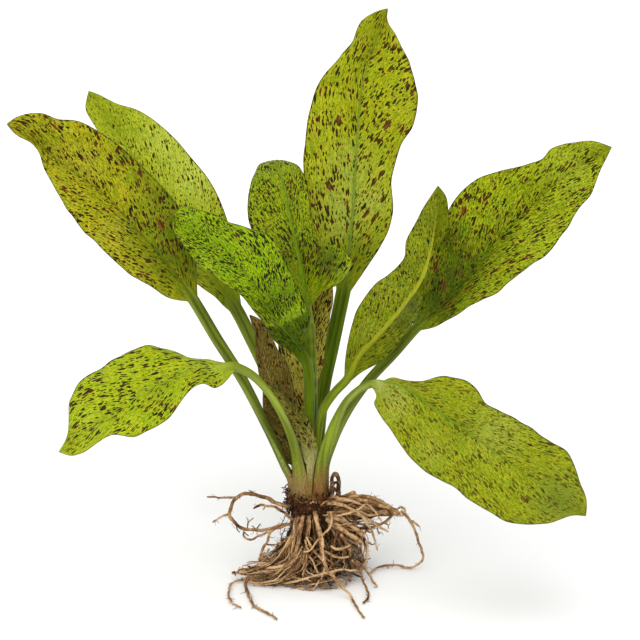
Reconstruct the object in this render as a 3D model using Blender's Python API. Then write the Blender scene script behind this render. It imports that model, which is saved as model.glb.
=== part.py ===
"""A bare-rooted echinodorus plant that stands on its roots.

Metres, +Z up, seen by a viewer who looks along +Y. The origin is on the surface that the plant rests
on, under the middle of its root mat. Twelve leaves, each a blade and its stalk grown as one, rise in
two rings from a short crown. The roots leave the crown below them: a mat on the ground, a sheaf to
each side, and the long single roots that stand clear of those.
"""
import math

import bmesh
import bpy
import numpy as np

# Driving dimensions, in metres
SPREAD = 0.242              # from the tip of the far left leaf to the tip of the far right one, as seen
CROWN_TOP = 0.034           # height of the top of the crown, where the leaf stalks start
CROWN_BOTTOM = 0.0285       # height of its lower end, where the roots leave
CROWN_RADIUS = 0.0088
CROWN_X = -0.0039           # the crown leans to the left of the root mat's middle
OUTER_RING = 0.0066         # radius of the ring of old leaf stalks on the crown
INNER_RING = 0.0031         # radius of the ring of young leaf stalks
BLADE_THICKNESS = 0.0008
GAP = 0.0003                # left between pieces that touch

# How a place in the picture becomes a place in the model
SPREAD_PIXELS = 605
PIXEL = SPREAD / SPREAD_PIXELS
VIEW_ANGLE = math.radians(20)       # the viewer looks down by this much
VIEW_DISTANCE = 1.15
PICTURE_MIDDLE = 320
AXIS_PIXEL = 318                    # the column of pixels on the plant's axis
AIM_HEIGHT = 0.109                  # the point on the axis at the picture's mid height
LOOK = np.array([0, math.cos(VIEW_ANGLE), -math.sin(VIEW_ANGLE)])
LOOK_UP = np.array([0, math.sin(VIEW_ANGLE), math.cos(VIEW_ANGLE)])
LOOK_RIGHT = np.array([1.0, 0, 0])
AIM = np.array([(PICTURE_MIDDLE - AXIS_PIXEL) * PIXEL, 0, AIM_HEIGHT])

MM = 0.001
RING_POINTS = 8
STALK_RINGS = 9
BLADE_RINGS = 17

# Each leaf: where its stalk stands on the crown (degrees from the side nearest the viewer, towards the
# right, and the ring's radius), how wide and deep the stalk is at its foot and top in millimetres, and
# whether the viewer sees the blade's upper side. Then lines of places (pixel across, pixel down,
# millimetres towards the viewer): the stalk up to the blade, the midrib from there to the tip, and the
# two margins between the same ends.
LEAVES = {
    "leaf_far_left": dict(
        foot=(-85, OUTER_RING), width=(5.8, 4.9), depth=(3.2, 3.4), upper_side=True,
        stalk=[(285, 466, -19), (268.5, 430, -17), (240.7, 376, -15), (217, 339, -14), (193, 299, -14)],
        rib=[(176, 274, -15), (159, 254, -17), (136, 229, -18), (103, 194, -17), (71, 170, -13),
             (40, 145, -8), (6.6, 124, -3)],
        left=[(171.5, 299, -10), (145.5, 284.5, -8), (108, 255.5, -7), (71, 216, -6), (48, 173, -5),
              (33, 146, -4), (12, 131, -3)],
        right=[(197, 270, -19), (196, 240, -21), (179, 207, -21), (149, 173, -18), (103, 134, -14),
               (76, 120.6, -9), (58, 119, -8), (41.5, 112.8, -4), (13, 119, -3)]),
    "leaf_upper_left": dict(
        foot=(-140, OUTER_RING), width=(5.2, 5.8), depth=(3.2, 3.4), upper_side=True,
        stalk=[(297, 466, -32), (284, 424, -36), (268, 375, -40), (250, 336, -43), (235.5, 308, -44)],
        rib=[(222, 288, -45), (200, 255, -48), (172, 212, -50), (140, 165, -50), (110, 122, -48),
             (88.7, 90.8, -43)],
        left=[(208, 293, -43), (180, 270, -43), (150, 235, -45), (125, 195, -46), (108, 155, -46),
              (94.5, 126, -44), (86.2, 105, -42)],
        right=[(239, 287, -47), (237, 255, -50), (228, 221, -51), (214, 188, -52), (192, 158, -52),
               (166, 130, -51), (139, 110.7, -49), (116, 103, -46), (97.8, 94, -44)]),
    "leaf_inner_left": dict(
        foot=(-15, INNER_RING), width=(3.4, 4.4), depth=(2.6, 3.4), upper_side=False,
        stalk=[(307.5, 470, -21), (309.5, 440, -16.5), (309.5, 400, -12), (306.5, 362, -4)],
        rib=[(296, 342, 6), (282, 326, 15), (270, 312, 18), (256, 289, 15), (240, 268, 11), (222, 252, 6),
             (200, 238, 1), (184, 226, -4), (172, 215, -10)],
        left=[(288, 350, 6), (275, 342, 10), (263, 323, 17), (250, 307, 18), (233, 290, 17),
              (215, 276, 14), (198, 265, 8), (184, 246, 1), (173, 229, -6)],
        right=[(306, 336, 8), (310, 318, 15), (305, 303, 17), (296, 282, 12), (285, 259, 7),
               (271, 238, 3), (249, 228, 0), (228, 220, -2), (206, 212, -5), (183, 207, -10)]),
    "leaf_centre": dict(
        foot=(129, INNER_RING), width=(3.4, 4.6), depth=(2.6, 3.4), upper_side=True,
        stalk=[(314, 470, -27), (314, 440, -24), (313, 400, -18), (311.5, 360, -13), (309.5, 330, -10),
               (306, 306, -8)],
        rib=[(303, 275, -10), (297, 249, -13), (291, 222, -17), (285, 195, -22), (279, 171, -29),
             (275, 160.5, -37), (273, 166, -45), (272, 180, -50)],
        left=[(292, 296, -8), (276, 274, -9), (262, 248, -12), (249, 222, -17), (248, 196, -23),
              (253, 175.5, -31), (260, 165.5, -39), (267, 171, -46)],
        right=[(323, 293, -5), (342, 283, -1), (354, 266, -3), (345, 251, -8), (323, 243, -12),
               (314, 226, -16), (310, 203, -20), (305, 176.5, -27), (296, 163.5, -36), (283, 169, -45)]),
    "leaf_tall": dict(
        foot=(158, OUTER_RING), width=(5.4, 6.2), depth=(3.2, 4.2), upper_side=True,
        stalk=[(317, 466, -34), (318, 440, -36), (320.5, 410, -38), (324.7, 380, -40), (331.2, 350, -41),
               (337.4, 320, -41), (343.5, 290, -41)],
        rib=[(350, 240, -41), (354, 191, -41), (357, 141, -40), (360, 100, -38), (368, 62, -35),
             (381, 30, -30), (387.8, 8.3, -24)],
        left=[(333, 268, -39), (314, 240, -38), (305.5, 196, -37), (304, 150, -36), (310, 110, -35),
              (321, 80, -33), (341, 55, -31), (352, 43, -29), (361, 22, -26), (374, 12, -25)],
        right=[(364, 272, -40), (380, 248, -39), (393, 212, -38), (392, 180, -38), (400, 148, -35),
               (414, 124, -32), (417, 96, -30), (410, 64, -30), (396, 35, -28), (387.5, 20, -26)]),
    "leaf_low_left": dict(
        foot=(-33, OUTER_RING), width=(4.2, 4.2), depth=(3.2, 3.4), upper_side=True,
        stalk=[(296, 452, -11), (285, 419, -2), (267, 389, 6), (250, 373, 12), (234, 366, 16)],
        rib=[(205, 366, 21), (165, 382, 27), (125, 405, 31), (100, 421, 32), (80, 435, 31), (58.5, 452, 29)],
        left=[(215, 388, 24), (200, 386, 28), (185, 393, 34), (174, 411, 38), (158, 427, 41),
              (139, 436, 43), (112, 434, 42), (91, 447.5, 38), (74, 456, 33)],
        right=[(221, 362, 15), (205, 361.5, 13), (190, 357.5, 12), (178, 350.5, 12), (165, 346, 12),
               (147, 345, 13), (120, 357, 16), (98, 368, 19), (82, 380, 22), (70, 400, 25),
               (69, 420, 28), (66, 438, 29)]),
    "leaf_upright_right": dict(
        foot=(57, INNER_RING), width=(3.4, 3.6), depth=(2.6, 3.0), upper_side=False,
        stalk=[(317.5, 462, -22.5), (317.8, 434, -18.5), (324, 408, -12), (335, 392, -7), (348, 378, -3)],
        rib=[(361, 354, 1), (376, 338, 5), (403, 307, 9), (421, 282, 8), (430, 256, 3), (435, 226, -3),
             (437.9, 185.4, -8)],
        left=[(345, 362, 0), (348, 340, 2), (356, 312, 3), (373, 286, 4), (394, 270, 4), (404, 256, 2),
              (406, 242, -1), (414, 226, -3), (428, 200, -7)],
        right=[(361, 373, -1), (381, 361.5, 2), (398.5, 344.5, 2), (412.5, 325, 0), (419, 311, -1),
               (422, 295, -2), (425, 278, -4), (428, 263, -5), (434, 249, -7), (442, 240, -9),
               (447, 231, -10), (450, 213, -11), (446, 196, -10)]),
    "leaf_far_right": dict(
        foot=(97, OUTER_RING), width=(4.8, 4.4), depth=(3.2, 3.4), upper_side=True,
        stalk=[(325, 466, -25), (331.5, 445, -23), (345, 415, -21), (365.5, 384, -20), (394, 353, -19),
               (417, 327, -18)],
        rib=[(446, 301, -20), (467, 277, -22), (487, 251, -22), (519, 218, -21), (551, 188, -18),
             (582, 165, -14), (612, 147, -8)],
        left=[(407, 318, -21), (413, 298, -23), (422, 272, -25), (433, 244, -26), (444, 219, -24),
              (455, 199, -22), (474, 181, -19), (502, 170, -17), (528, 164.5, -15), (543, 158.5, -12),
              (551, 149, -11), (562, 144.5, -10), (588, 140.5, -8)],
        right=[(431, 328, -15), (460, 313.5, -13), (488, 298, -12), (512, 280, -12), (547.5, 253, -12),
               (567.5, 229, -13), (578, 210, -14), (592, 192, -12), (603, 166, -10)]),
    "leaf_low_right": dict(
        foot=(48, OUTER_RING), width=(4.6, 4.6), depth=(3.2, 3.4), upper_side=True,
        stalk=[(322, 462, -14), (327, 446, -9), (337, 420, -2), (351, 398, 6), (371, 385, 13)],
        rib=[(398, 388, 20), (433, 409, 26), (467, 433, 29), (513, 466, 31), (551, 493, 31),
             (586, 516, 30)],
        left=[(372, 388, 19), (376.5, 397.5, 21), (374, 402.5, 22.5), (377, 410, 24.5),
              (386.5, 424, 28), (401, 446, 32), (420.5, 467, 37), (447, 484.5, 41),
              (480, 506, 43), (513, 524, 43), (545, 523, 40), (571, 516, 34)],
        right=[(390, 381, 12), (421, 379.5, 13), (446, 376, 14), (465.5, 381, 14), (493, 407.5, 17),
               (520, 421, 17), (550, 440, 19), (570, 458, 21), (580, 481, 25), (587, 502, 28)]),
    "leaf_young_brown": dict(
        foot=(-87, INNER_RING), width=(3.2, 3.4), depth=(2.6, 2.6), upper_side=False,
        stalk=[(302.5, 477, -24.5), (299, 465, -23.5)],
        rib=[(293, 446, -22), (286, 420, -20), (276, 395, -18), (269, 376, -17.5), (262, 355, -17),
             (255, 334, -16), (249.5, 314.5, -15)],
        left=[(287, 463, -23), (276, 445, -21.5), (268.5, 429, -20), (263, 409, -18.5), (262, 386, -17),
              (258, 370, -16), (254.6, 344, -15.5), (252.5, 327, -15)],
        right=[(304, 449, -22), (303, 432, -20), (299, 408, -17), (293, 385, -14), (288, 368, -13),
               (281, 352, -13), (275, 339, -13.5), (267, 327, -14.5), (258, 318, -15)]),
    "leaf_young_yellow": dict(
        foot=(201, INNER_RING), width=(3.2, 3.4), depth=(2.6, 2.6), upper_side=True,
        stalk=[(306, 468, -29), (307, 445, -28)],
        rib=[(309, 415, -27), (309, 380, -26.5), (312, 330, -26), (316, 295, -26), (319, 266, -26)],
        left=[(300, 420, -26), (292, 398, -24), (282, 370, -23), (278, 346, -23), (286, 315, -24),
              (302, 285, -25)],
        right=[(316, 410, -27), (317.8, 392, -26), (320.5, 375, -25), (324, 357, -24), (327, 338, -23),
               (330.5, 317, -23), (333, 297, -23), (329.5, 276, -24)]),
    "leaf_young_spotted": dict(
        foot=(6, OUTER_RING), width=(2.6, 4.2), depth=(2.2, 2.0), upper_side=False,
        stalk=[(310, 480, -16.5), (310.5, 463, -13.5)],
        rib=[(310, 443, -12), (303, 426, -11), (291, 409, -11), (277, 393, -12), (264, 381, -13)],
        left=[(302.5, 456, -13), (296.5, 440, -11), (289, 418, -11), (276, 402, -12)],
        right=[(318, 449, -12), (313, 430, -12), (300, 411, -13), (284, 394, -13.5)]),
}

# Single roots: radius at the crown end and at the tip in millimetres, and a line of places (pixel
# across, pixel down, height in millimetres above the ground).
ROOTS = {
    "root_left_loop": dict(radius=(1.0, 0.7), places=[
        (300, 508, 28.8), (289, 506.5, 29.6), (273.5, 502, 31.5), (262.5, 496.3, 33.9), (252, 494, 34.9),
        (241, 495, 34.5), (234.4, 499.8, 32.4), (230.3, 508, 28.9), (230.8, 517, 25.1), (235.7, 524, 22.1),
        (243.4, 528.8, 20.1), (254.2, 529.7, 19.7), (264, 529.7, 19.7), (272, 528.5, 20.2),
        (280, 525.3, 21.6), (290, 523.5, 22.3)]),
    "root_left_twig_high": dict(radius=(0.5, 0.35), places=[
        (240, 497.5, 33.4), (225, 497.8, 33.3), (207, 496.6, 33.8)]),
    "root_left_twig_low": dict(radius=(0.5, 0.35), places=[
        (230, 513.5, 26.6), (221, 517, 25.1), (212.8, 522.4, 22.8)]),
    "root_left_short": dict(radius=(0.7, 0.45), places=[
        (293, 520, 25.3), (284, 513, 28.3), (275, 506.5, 31), (266, 506, 31.2), (261, 505.2, 31.6),
        (253.6, 508.7, 30.1)]),
    "root_left_hanging": dict(radius=(0.65, 0.5), places=[
        (290, 524, 23.9), (280, 527, 22.6), (272, 530.4, 21.2), (266.3, 542.5, 15.9), (261.2, 553.3, 11.2),
        (259.5, 561, 7.9)]),
    "root_front_left_outer": dict(radius=(0.45, 0.36), places=[
        (243, 580, 1.4), (236, 581, 1), (229, 588, 1), (229, 596, 1), (233, 603, 1),
        (241, 607.5, 1)]),
    "root_front_left_inner": dict(radius=(0.65, 0.45), places=[
        (249, 577, 3.2), (246, 583, 1.6), (248, 592, 1.1), (254, 605, 1), (264, 611, 1), (277, 619, 1)]),
    "root_front_right": dict(radius=(0.85, 0.38), places=[
        (315, 512, 30.5), (316.5, 520, 28.4), (322, 542, 20.8), (325, 566, 12.6), (337, 581, 7.4),
        (348, 593, 3), (356, 606, 1.1), (364, 618, 1)]),
    "root_right_short_front": dict(radius=(0.55, 0.4), places=[
        (352, 560, 10), (358, 568, 7.6), (363.5, 581, 3.2), (368.5, 595, 0.9), (363, 603, 0.9)]),
    "root_right_short_back": dict(radius=(0.5, 0.36), places=[
        (356, 561, 8.4), (363, 567, 6.4), (369, 575, 2.4), (377, 586, 0.9)]),
    "root_right_long": dict(radius=(0.6, 0.42), places=[
        (401, 511, 27.6), (409, 519, 24.2), (415.5, 533, 18), (421, 548, 10.8), (421.5, 561, 3.6),
        (415, 567, 1.4), (396, 565, 1.1), (380, 567, 1.1), (370, 573, 1.1)]),
    "root_right_twig": dict(radius=(0.5, 0.36), places=[
        (410.5, 520.8, 23.6), (415, 523.2, 22.4), (419.5, 526.3, 21)]),
    "root_right_knot": dict(radius=(0.85, 0.75), places=[
        (329, 501, 32), (332.4, 495, 34.5), (331.8, 486, 38.4), (331.8, 478, 41.8), (335, 473.5, 43.6),
        (338.4, 479, 41.2), (339.2, 490, 36.6), (337.6, 500, 32.2), (330, 507, 29.6)]),
}
ROOT_RING_POINTS = 6
ROOT_STEP = 0.0032          # distance between the rings of a root

# The bulky root pieces as stations of elliptical rings, in millimetres:
# (middle x, y, z), then the ring's two half widths.
ROOT_MAT = [((-3.9, 0, 28.2), 8.6, 8.6), ((-3.4, -0.3, 24), 10.6, 10.2), ((-2, -1, 15), 15.5, 15),
            ((-1.5, -1.5, 7), 19.5, 18.5), ((-2, -1.5, 2), 23, 21), ((-2, -1.5, 0), 22.5, 20.5)]
SHEAF_RIGHT = [((5, 0, 22), 6, 7), ((11, 0, 22.5), 8, 8.5), ((17, 0.5, 23), 8.5, 8.5),
               ((23, 1, 24), 7, 7), ((29, 1, 25.8), 4.4, 4.4), ((33.2, 1, 26.8), 2.4, 2.2)]
SHEAF_LEFT = [((-12, -11, 6.8), 8, 6), ((-18, -10.5, 5.4), 7, 4.8), ((-24, -8.5, 4.4), 4.8, 3.8),
              ((-29.5, -8, 3.6), 2.8, 2.6), ((-32.8, -6.8, 3.2), 1.4, 1.4)]
CLUMP_RING_POINTS = 14
CLUMP_ROUGHNESS = 0.07


def clear_scene():
    for thing in list(bpy.data.objects):
        bpy.data.objects.remove(thing, do_unlink=True)


def seen_at(across, down, near):
    """The point at a pixel of the picture, `near` millimetres in front of the aim point."""
    shrink = (VIEW_DISTANCE - near * MM) / VIEW_DISTANCE
    step_right = (across - PICTURE_MIDDLE) * PIXEL * shrink
    step_up = (PICTURE_MIDDLE - down) * PIXEL * shrink
    return AIM + step_right * LOOK_RIGHT + step_up * LOOK_UP - near * MM * LOOK


def seen_at_height(across, down, height):
    """The point at a pixel of the picture, `height` millimetres above the ground."""
    eye = AIM - VIEW_DISTANCE * LOOK
    ray = seen_at(across, down, 0) - eye
    return eye + ray * (height * MM - eye[2]) / ray[2]


def smooth_line(points, shares):
    """Points at the given shares of the length of a smooth line through `points`."""
    points = np.asarray(points, float)
    gaps = np.linalg.norm(np.diff(points, axis=0), axis=1)
    knots = np.concatenate([[0], np.cumsum(gaps)]) / gaps.sum()
    spans = np.diff(knots)
    slopes = np.diff(points, axis=0) / spans[:, None]
    tangents = np.empty_like(points)
    weights = spans[:-1] + spans[1:]
    tangents[1:-1] = (slopes[:-1] * spans[1:, None] + slopes[1:] * spans[:-1, None]) / weights[:, None]
    tangents[0] = 1.5 * slopes[0] - 0.5 * tangents[1]
    tangents[-1] = 1.5 * slopes[-1] - 0.5 * tangents[-2]

    def place(x):
        i = np.clip(np.searchsorted(knots, x, side="right") - 1, 0, len(spans) - 1)
        t = ((x - knots[i]) / spans[i])[:, None]
        span = spans[i][:, None]
        start = (2 * t**3 - 3 * t**2 + 1) * points[i] + (t**3 - 2 * t**2 + t) * span * tangents[i]
        end = (3 * t**2 - 2 * t**3) * points[i + 1] + (t**3 - t**2) * span * tangents[i + 1]
        return start + end

    fine = np.linspace(0, 1, 400)
    runs = np.linalg.norm(np.diff(place(fine), axis=0), axis=1)
    length = np.concatenate([[0], np.cumsum(runs)])
    return place(np.interp(np.asarray(shares) * length[-1], length, fine))


def unit(vectors):
    vectors = np.asarray(vectors, float)
    return vectors / np.linalg.norm(vectors, axis=-1, keepdims=True)


def directions(line):
    return unit(np.gradient(line, axis=0))


def carry_side(line, first_side):
    """A direction across the line at each point, carried along it without twist."""
    along = directions(line)
    side = first_side
    sides = []
    for direction in along:
        side = unit(side - direction * (side @ direction))
        sides.append(side)
    return np.array(sides)


def turned(sides, along, angles):
    """The sides, each turned about its direction along the line."""
    other = np.cross(along, sides)
    return sides * np.cos(angles)[:, None] + other * np.sin(angles)[:, None]


def soft_step(x):
    x = np.clip(x, 0, 1)
    return x * x * (3 - 2 * x)


def leaf_foot(leaf):
    azimuth = math.radians(leaf["foot"][0])
    radius = leaf["foot"][1]
    return np.array([CROWN_X + radius * math.sin(azimuth), -radius * math.cos(azimuth), CROWN_TOP + GAP])


def leaf_lines(leaf):
    """The stalk's line, and the blade's midrib and margins, each evenly spaced from foot to tip."""
    foot = leaf_foot(leaf)
    above_foot = foot + np.array([0, 0, 4 * MM])
    stalk = [foot, above_foot] + [seen_at(*place) for place in leaf["stalk"]]
    rib = [seen_at(*place) for place in leaf["rib"]]
    shares = np.linspace(0, 1, 600)
    whole = smooth_line(stalk + rib, shares)
    join = shares[np.argmin(np.linalg.norm(whole - stalk[-1], axis=1))]
    stalk_line = smooth_line(stalk + rib, join * np.linspace(0, 1, STALK_RINGS))
    blade_shares = np.linspace(0, 1, BLADE_RINGS)
    rib_line = smooth_line(stalk + rib, join + (1 - join) * blade_shares)

    near_base = seen_at(*leaf["right"][1]) - seen_at(*leaf["left"][1])
    rib_direction = unit(rib_line[1] - rib_line[0])
    top_side = unit(near_base - rib_direction * (near_base @ rib_direction))
    half_width = leaf["width"][1] * MM / 2
    margins = []
    for name, sign in (("left", -1), ("right", 1)):
        base = rib_line[0] + sign * half_width * top_side
        line = [base] + [seen_at(*place) for place in leaf[name]] + [rib_line[-1]]
        margins.append(smooth_line(line, blade_shares))
    return stalk_line, rib_line, margins[0], margins[1], top_side


def leaf_rings(leaf):
    """Rings of points from the foot of the stalk to just short of the tip, and the two end points."""
    stalk, rib, left, right, top_side = leaf_lines(leaf)
    azimuth = math.radians(leaf["foot"][0])
    inward = -1 if leaf["upper_side"] else 1
    foot_side = inward * np.array([math.cos(azimuth), math.sin(azimuth), 0])
    along = directions(stalk)
    sides = carry_side(stalk, foot_side)
    other = np.cross(along[-1], sides[-1])
    twist = math.atan2(top_side @ other, top_side @ sides[-1])
    share = np.linspace(0, 1, len(stalk))
    sides = turned(sides, along, twist * soft_step(share))
    widths = np.interp(share, [0, 1], leaf["width"]) * MM
    depths = np.interp(share, [0, 1], leaf["depth"]) * MM
    angles = 2 * math.pi * np.arange(RING_POINTS) / RING_POINTS
    across = -np.cos(angles)
    lift = np.sin(angles)

    rings = []
    for i, middle in enumerate(stalk[:-1]):
        normal = np.cross(sides[i], along[i])
        reach = np.outer(across, sides[i] * widths[i] / 2) + np.outer(lift, normal * depths[i] / 2)
        rings.append(middle + reach)
    rings[0][:, 2] = stalk[0][2]

    rib_directions = directions(rib)
    for i in range(BLADE_RINGS - 1):
        share_here = i / (BLADE_RINGS - 1)
        normal = unit(np.cross(right[i] - left[i], rib_directions[i]))
        rib_depth = depths[-1] * (1 - share_here) ** 2 + BLADE_THICKNESS
        half_blade = BLADE_THICKNESS + depths[-1] * max(0, 0.3 - 3 * share_here)
        thickness = np.where(np.abs(across) < 0.1, rib_depth, half_blade)
        margin = np.where((across < 0)[:, None], left[i], right[i])
        surface = rib[i] + np.abs(across)[:, None] * (margin - rib[i])
        rings.append(surface + np.outer(lift * thickness / 2, normal))
    return rings, stalk[0], rib[-1]


def lofted(name, rings, first_point=None, last_point=None):
    """One closed body through rings of points, with a point or a flat face at each end."""
    mesh = bpy.data.meshes.new(name)
    shape = bmesh.new()
    loops = [[shape.verts.new(point) for point in ring] for ring in rings]
    for ring, following in zip(loops, loops[1:]):
        for i in range(len(ring)):
            j = (i + 1) % len(ring)
            shape.faces.new((ring[i], ring[j], following[j], following[i]))
    for ring, point in ((loops[0], first_point), (loops[-1], last_point)):
        if point is None:
            shape.faces.new(ring)
        else:
            apex = shape.verts.new(point)
            for i in range(len(ring)):
                shape.faces.new((ring[i], ring[(i + 1) % len(ring)], apex))
    bmesh.ops.recalc_face_normals(shape, faces=shape.faces)
    bmesh.ops.triangulate(shape, faces=[face for face in shape.faces if len(face.verts) == 4])
    shape.to_mesh(mesh)
    shape.free()
    mesh.shade_smooth()
    mesh.set_sharp_from_angle(angle=math.radians(50))
    thing = bpy.data.objects.new(name, mesh)
    bpy.context.scene.collection.objects.link(thing)
    return thing


def material(name, colour, roughness):
    made = bpy.data.materials.new(name)
    made.use_nodes = True
    shader = made.node_tree.nodes["Principled BSDF"]
    shader.inputs["Base Color"].default_value = (*colour, 1)
    shader.inputs["Roughness"].default_value = roughness
    shader.inputs["Metallic"].default_value = 0
    made.diffuse_color = (*colour, 1)
    return made


def make_leaf(name, leaf, finish):
    rings, foot, tip = leaf_rings(leaf)
    thing = lofted(name, rings, None, tip)
    thing.data.materials.append(finish)
    return thing


def root_rings(places, radii):
    """Round rings along a root that narrows from one radius to the other."""
    rough = smooth_line(places, np.linspace(0, 1, 200))
    length = np.linalg.norm(np.diff(rough, axis=0), axis=1).sum()
    count = max(3, math.ceil(length / ROOT_STEP) + 1)
    line = smooth_line(places, np.linspace(0, 1, count))
    along = directions(line)
    start = unit(np.cross(along[0], [0.3, 0.2, 1]))
    sides = carry_side(line, start)
    angles = 2 * math.pi * np.arange(ROOT_RING_POINTS) / ROOT_RING_POINTS
    rings = []
    for i, middle in enumerate(line):
        radius = (radii[0] + (radii[1] - radii[0]) * i / (count - 1)) * MM
        other = np.cross(along[i], sides[i])
        rings.append(middle + radius * (np.outer(np.cos(angles), sides[i]) + np.outer(np.sin(angles), other)))
    return rings


def make_root(name, root, finish):
    places = [seen_at_height(*place) for place in root["places"]]
    thing = lofted(name, root_rings(places, root["radius"]))
    thing.data.materials.append(finish)
    return thing


def clump_rings(stations, seed):
    """Uneven elliptical rings that follow the line through the stations' middles."""
    noise = np.random.default_rng(seed)
    middles = np.array([middle for middle, _, _ in stations], float) * MM
    along = directions(middles)
    angles = 2 * math.pi * np.arange(CLUMP_RING_POINTS) / CLUMP_RING_POINTS
    ribs = 1 + CLUMP_ROUGHNESS * noise.standard_normal(CLUMP_RING_POINTS)
    rings = []
    for i, (_, half_across, half_other) in enumerate(stations):
        upright = abs(along[i][2]) > 0.7
        direction = np.array([0, 0, along[i][2]]) if upright else along[i]
        direction = unit(direction)
        side = np.array([1.0, 0, 0]) if upright else unit(np.cross([0, 0, 1], direction))
        other = np.cross(direction, side)
        reach = np.outer(np.cos(angles) * half_across, side) + np.outer(np.sin(angles) * half_other, other)
        rings.append(middles[i] + reach * ribs[:, None] * MM)
    return rings


def make_clump(name, stations, seed, finish):
    thing = lofted(name, clump_rings(stations, seed))
    thing.data.materials.append(finish)
    return thing


def make_crown(finish):
    height = CROWN_TOP - CROWN_BOTTOM
    stations = []
    for share, widening in ((0, 0.98), (0.3, 1.04), (0.65, 0.98), (1, 1.0)):
        middle = (CROWN_X / MM, 0, (CROWN_BOTTOM + height * share) / MM)
        half = CROWN_RADIUS * widening / MM
        stations.append((middle, half, half))
    return make_clump("crown", stations, 5, finish)


def clearance_of(thing):
    """A hidden copy of a piece, grown by the gap, that cuts room for it in its neighbours."""
    mesh = thing.data.copy()
    grown = bpy.data.objects.new(thing.name + "_clearance", mesh)
    bpy.context.scene.collection.objects.link(grown)
    normals = [vertex.normal.copy() for vertex in mesh.vertices]
    for vertex, normal in zip(mesh.vertices, normals):
        vertex.co += normal * GAP * 1.15
    grown.hide_render = True
    grown.display_type = "WIRE"
    return grown


def keep_clear(thing, clearances):
    for clearance in clearances:
        cut = thing.modifiers.new("room for " + clearance.name, "BOOLEAN")
        cut.operation = "DIFFERENCE"
        cut.solver = "EXACT"
        cut.object = clearance


clear_scene()
leaf_green = material("leaf green", (0.22, 0.33, 0.02), 0.38)
young_brown = material("young leaf brown", (0.13, 0.10, 0.03), 0.45)
young_yellow = material("young leaf yellow green", (0.30, 0.30, 0.04), 0.42)
crown_brown = material("crown brown", (0.10, 0.045, 0.02), 0.75)
root_tan = material("root tan", (0.32, 0.19, 0.09), 0.7)

young_finishes = {
    "leaf_young_brown": young_brown,
    "leaf_young_yellow": young_yellow,
    "leaf_young_spotted": young_brown,
}
for leaf_name, leaf_table in LEAVES.items():
    make_leaf(leaf_name, leaf_table, young_finishes.get(leaf_name, leaf_green))

crown = make_crown(crown_brown)
root_mat = make_clump("root_mat", ROOT_MAT, 11, root_tan)
sheaf_right = make_clump("root_sheaf_right", SHEAF_RIGHT, 12, root_tan)
sheaf_left = make_clump("root_sheaf_left", SHEAF_LEFT, 13, root_tan)

crown_room = clearance_of(crown)
mat_room = clearance_of(root_mat)
right_room = clearance_of(sheaf_right)
left_room = clearance_of(sheaf_left)
keep_clear(sheaf_right, [crown_room, mat_room])
keep_clear(sheaf_left, [mat_room])
roots = {}
for root_name, root_table in ROOTS.items():
    roots[root_name] = make_root(root_name, root_table, root_tan)
    keep_clear(roots[root_name], [crown_room, mat_room, right_room, left_room])

loop_room = clearance_of(roots["root_left_loop"])
long_room = clearance_of(roots["root_right_long"])
keep_clear(roots["root_left_twig_high"], [loop_room])
keep_clear(roots["root_left_twig_low"], [loop_room])
keep_clear(roots["root_right_twig"], [long_room])
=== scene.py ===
"""The looks of a bare-rooted echinodorus plant: spotted leaves, a fibrous crown and a mass of roots.

Metres, +Z up, seen by a viewer who looks along +Y. Every place is worked out from the same named
values as the solid model, so each piece grows where its solid stands.
"""
import math

import bpy
import numpy as np
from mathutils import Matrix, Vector


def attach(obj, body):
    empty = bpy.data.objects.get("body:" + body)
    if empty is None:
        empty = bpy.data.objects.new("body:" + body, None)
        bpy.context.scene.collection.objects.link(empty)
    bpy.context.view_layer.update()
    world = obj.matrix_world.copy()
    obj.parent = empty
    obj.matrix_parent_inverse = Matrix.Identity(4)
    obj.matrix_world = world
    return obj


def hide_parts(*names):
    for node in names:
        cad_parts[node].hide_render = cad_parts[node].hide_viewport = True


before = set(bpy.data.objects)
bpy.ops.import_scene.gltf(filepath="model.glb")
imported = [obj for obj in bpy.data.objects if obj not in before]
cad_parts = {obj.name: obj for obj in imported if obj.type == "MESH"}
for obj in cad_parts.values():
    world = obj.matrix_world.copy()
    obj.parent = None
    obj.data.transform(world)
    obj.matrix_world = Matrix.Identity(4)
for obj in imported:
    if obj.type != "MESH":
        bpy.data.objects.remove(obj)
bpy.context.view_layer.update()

# Driving dimensions, in metres
SPREAD = 0.242              # from the tip of the far left leaf to the tip of the far right one, as seen
CROWN_TOP = 0.034           # height of the top of the crown, where the leaf stalks start
CROWN_RADIUS = 0.0088
CROWN_X = -0.0039           # the crown leans to the left of the root mat's middle
OUTER_RING = 0.0066         # radius of the ring of old leaf stalks on the crown
INNER_RING = 0.0031         # radius of the ring of young leaf stalks
GAP = 0.0003

# How a place in the picture becomes a place in the model
SPREAD_PIXELS = 605
PIXEL = SPREAD / SPREAD_PIXELS
VIEW_ANGLE = math.radians(20)       # the viewer looks down by this much
VIEW_DISTANCE = 1.15
PICTURE_MIDDLE = 320
AXIS_PIXEL = 318                    # the column of pixels on the plant's axis
AIM_HEIGHT = 0.109                  # the point on the axis at the picture's mid height
LOOK = np.array([0, math.cos(VIEW_ANGLE), -math.sin(VIEW_ANGLE)])
LOOK_UP = np.array([0, math.sin(VIEW_ANGLE), math.cos(VIEW_ANGLE)])
LOOK_RIGHT = np.array([1.0, 0, 0])
AIM = np.array([(PICTURE_MIDDLE - AXIS_PIXEL) * PIXEL, 0, AIM_HEIGHT])

MM = 0.001
CM = 0.01

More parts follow.
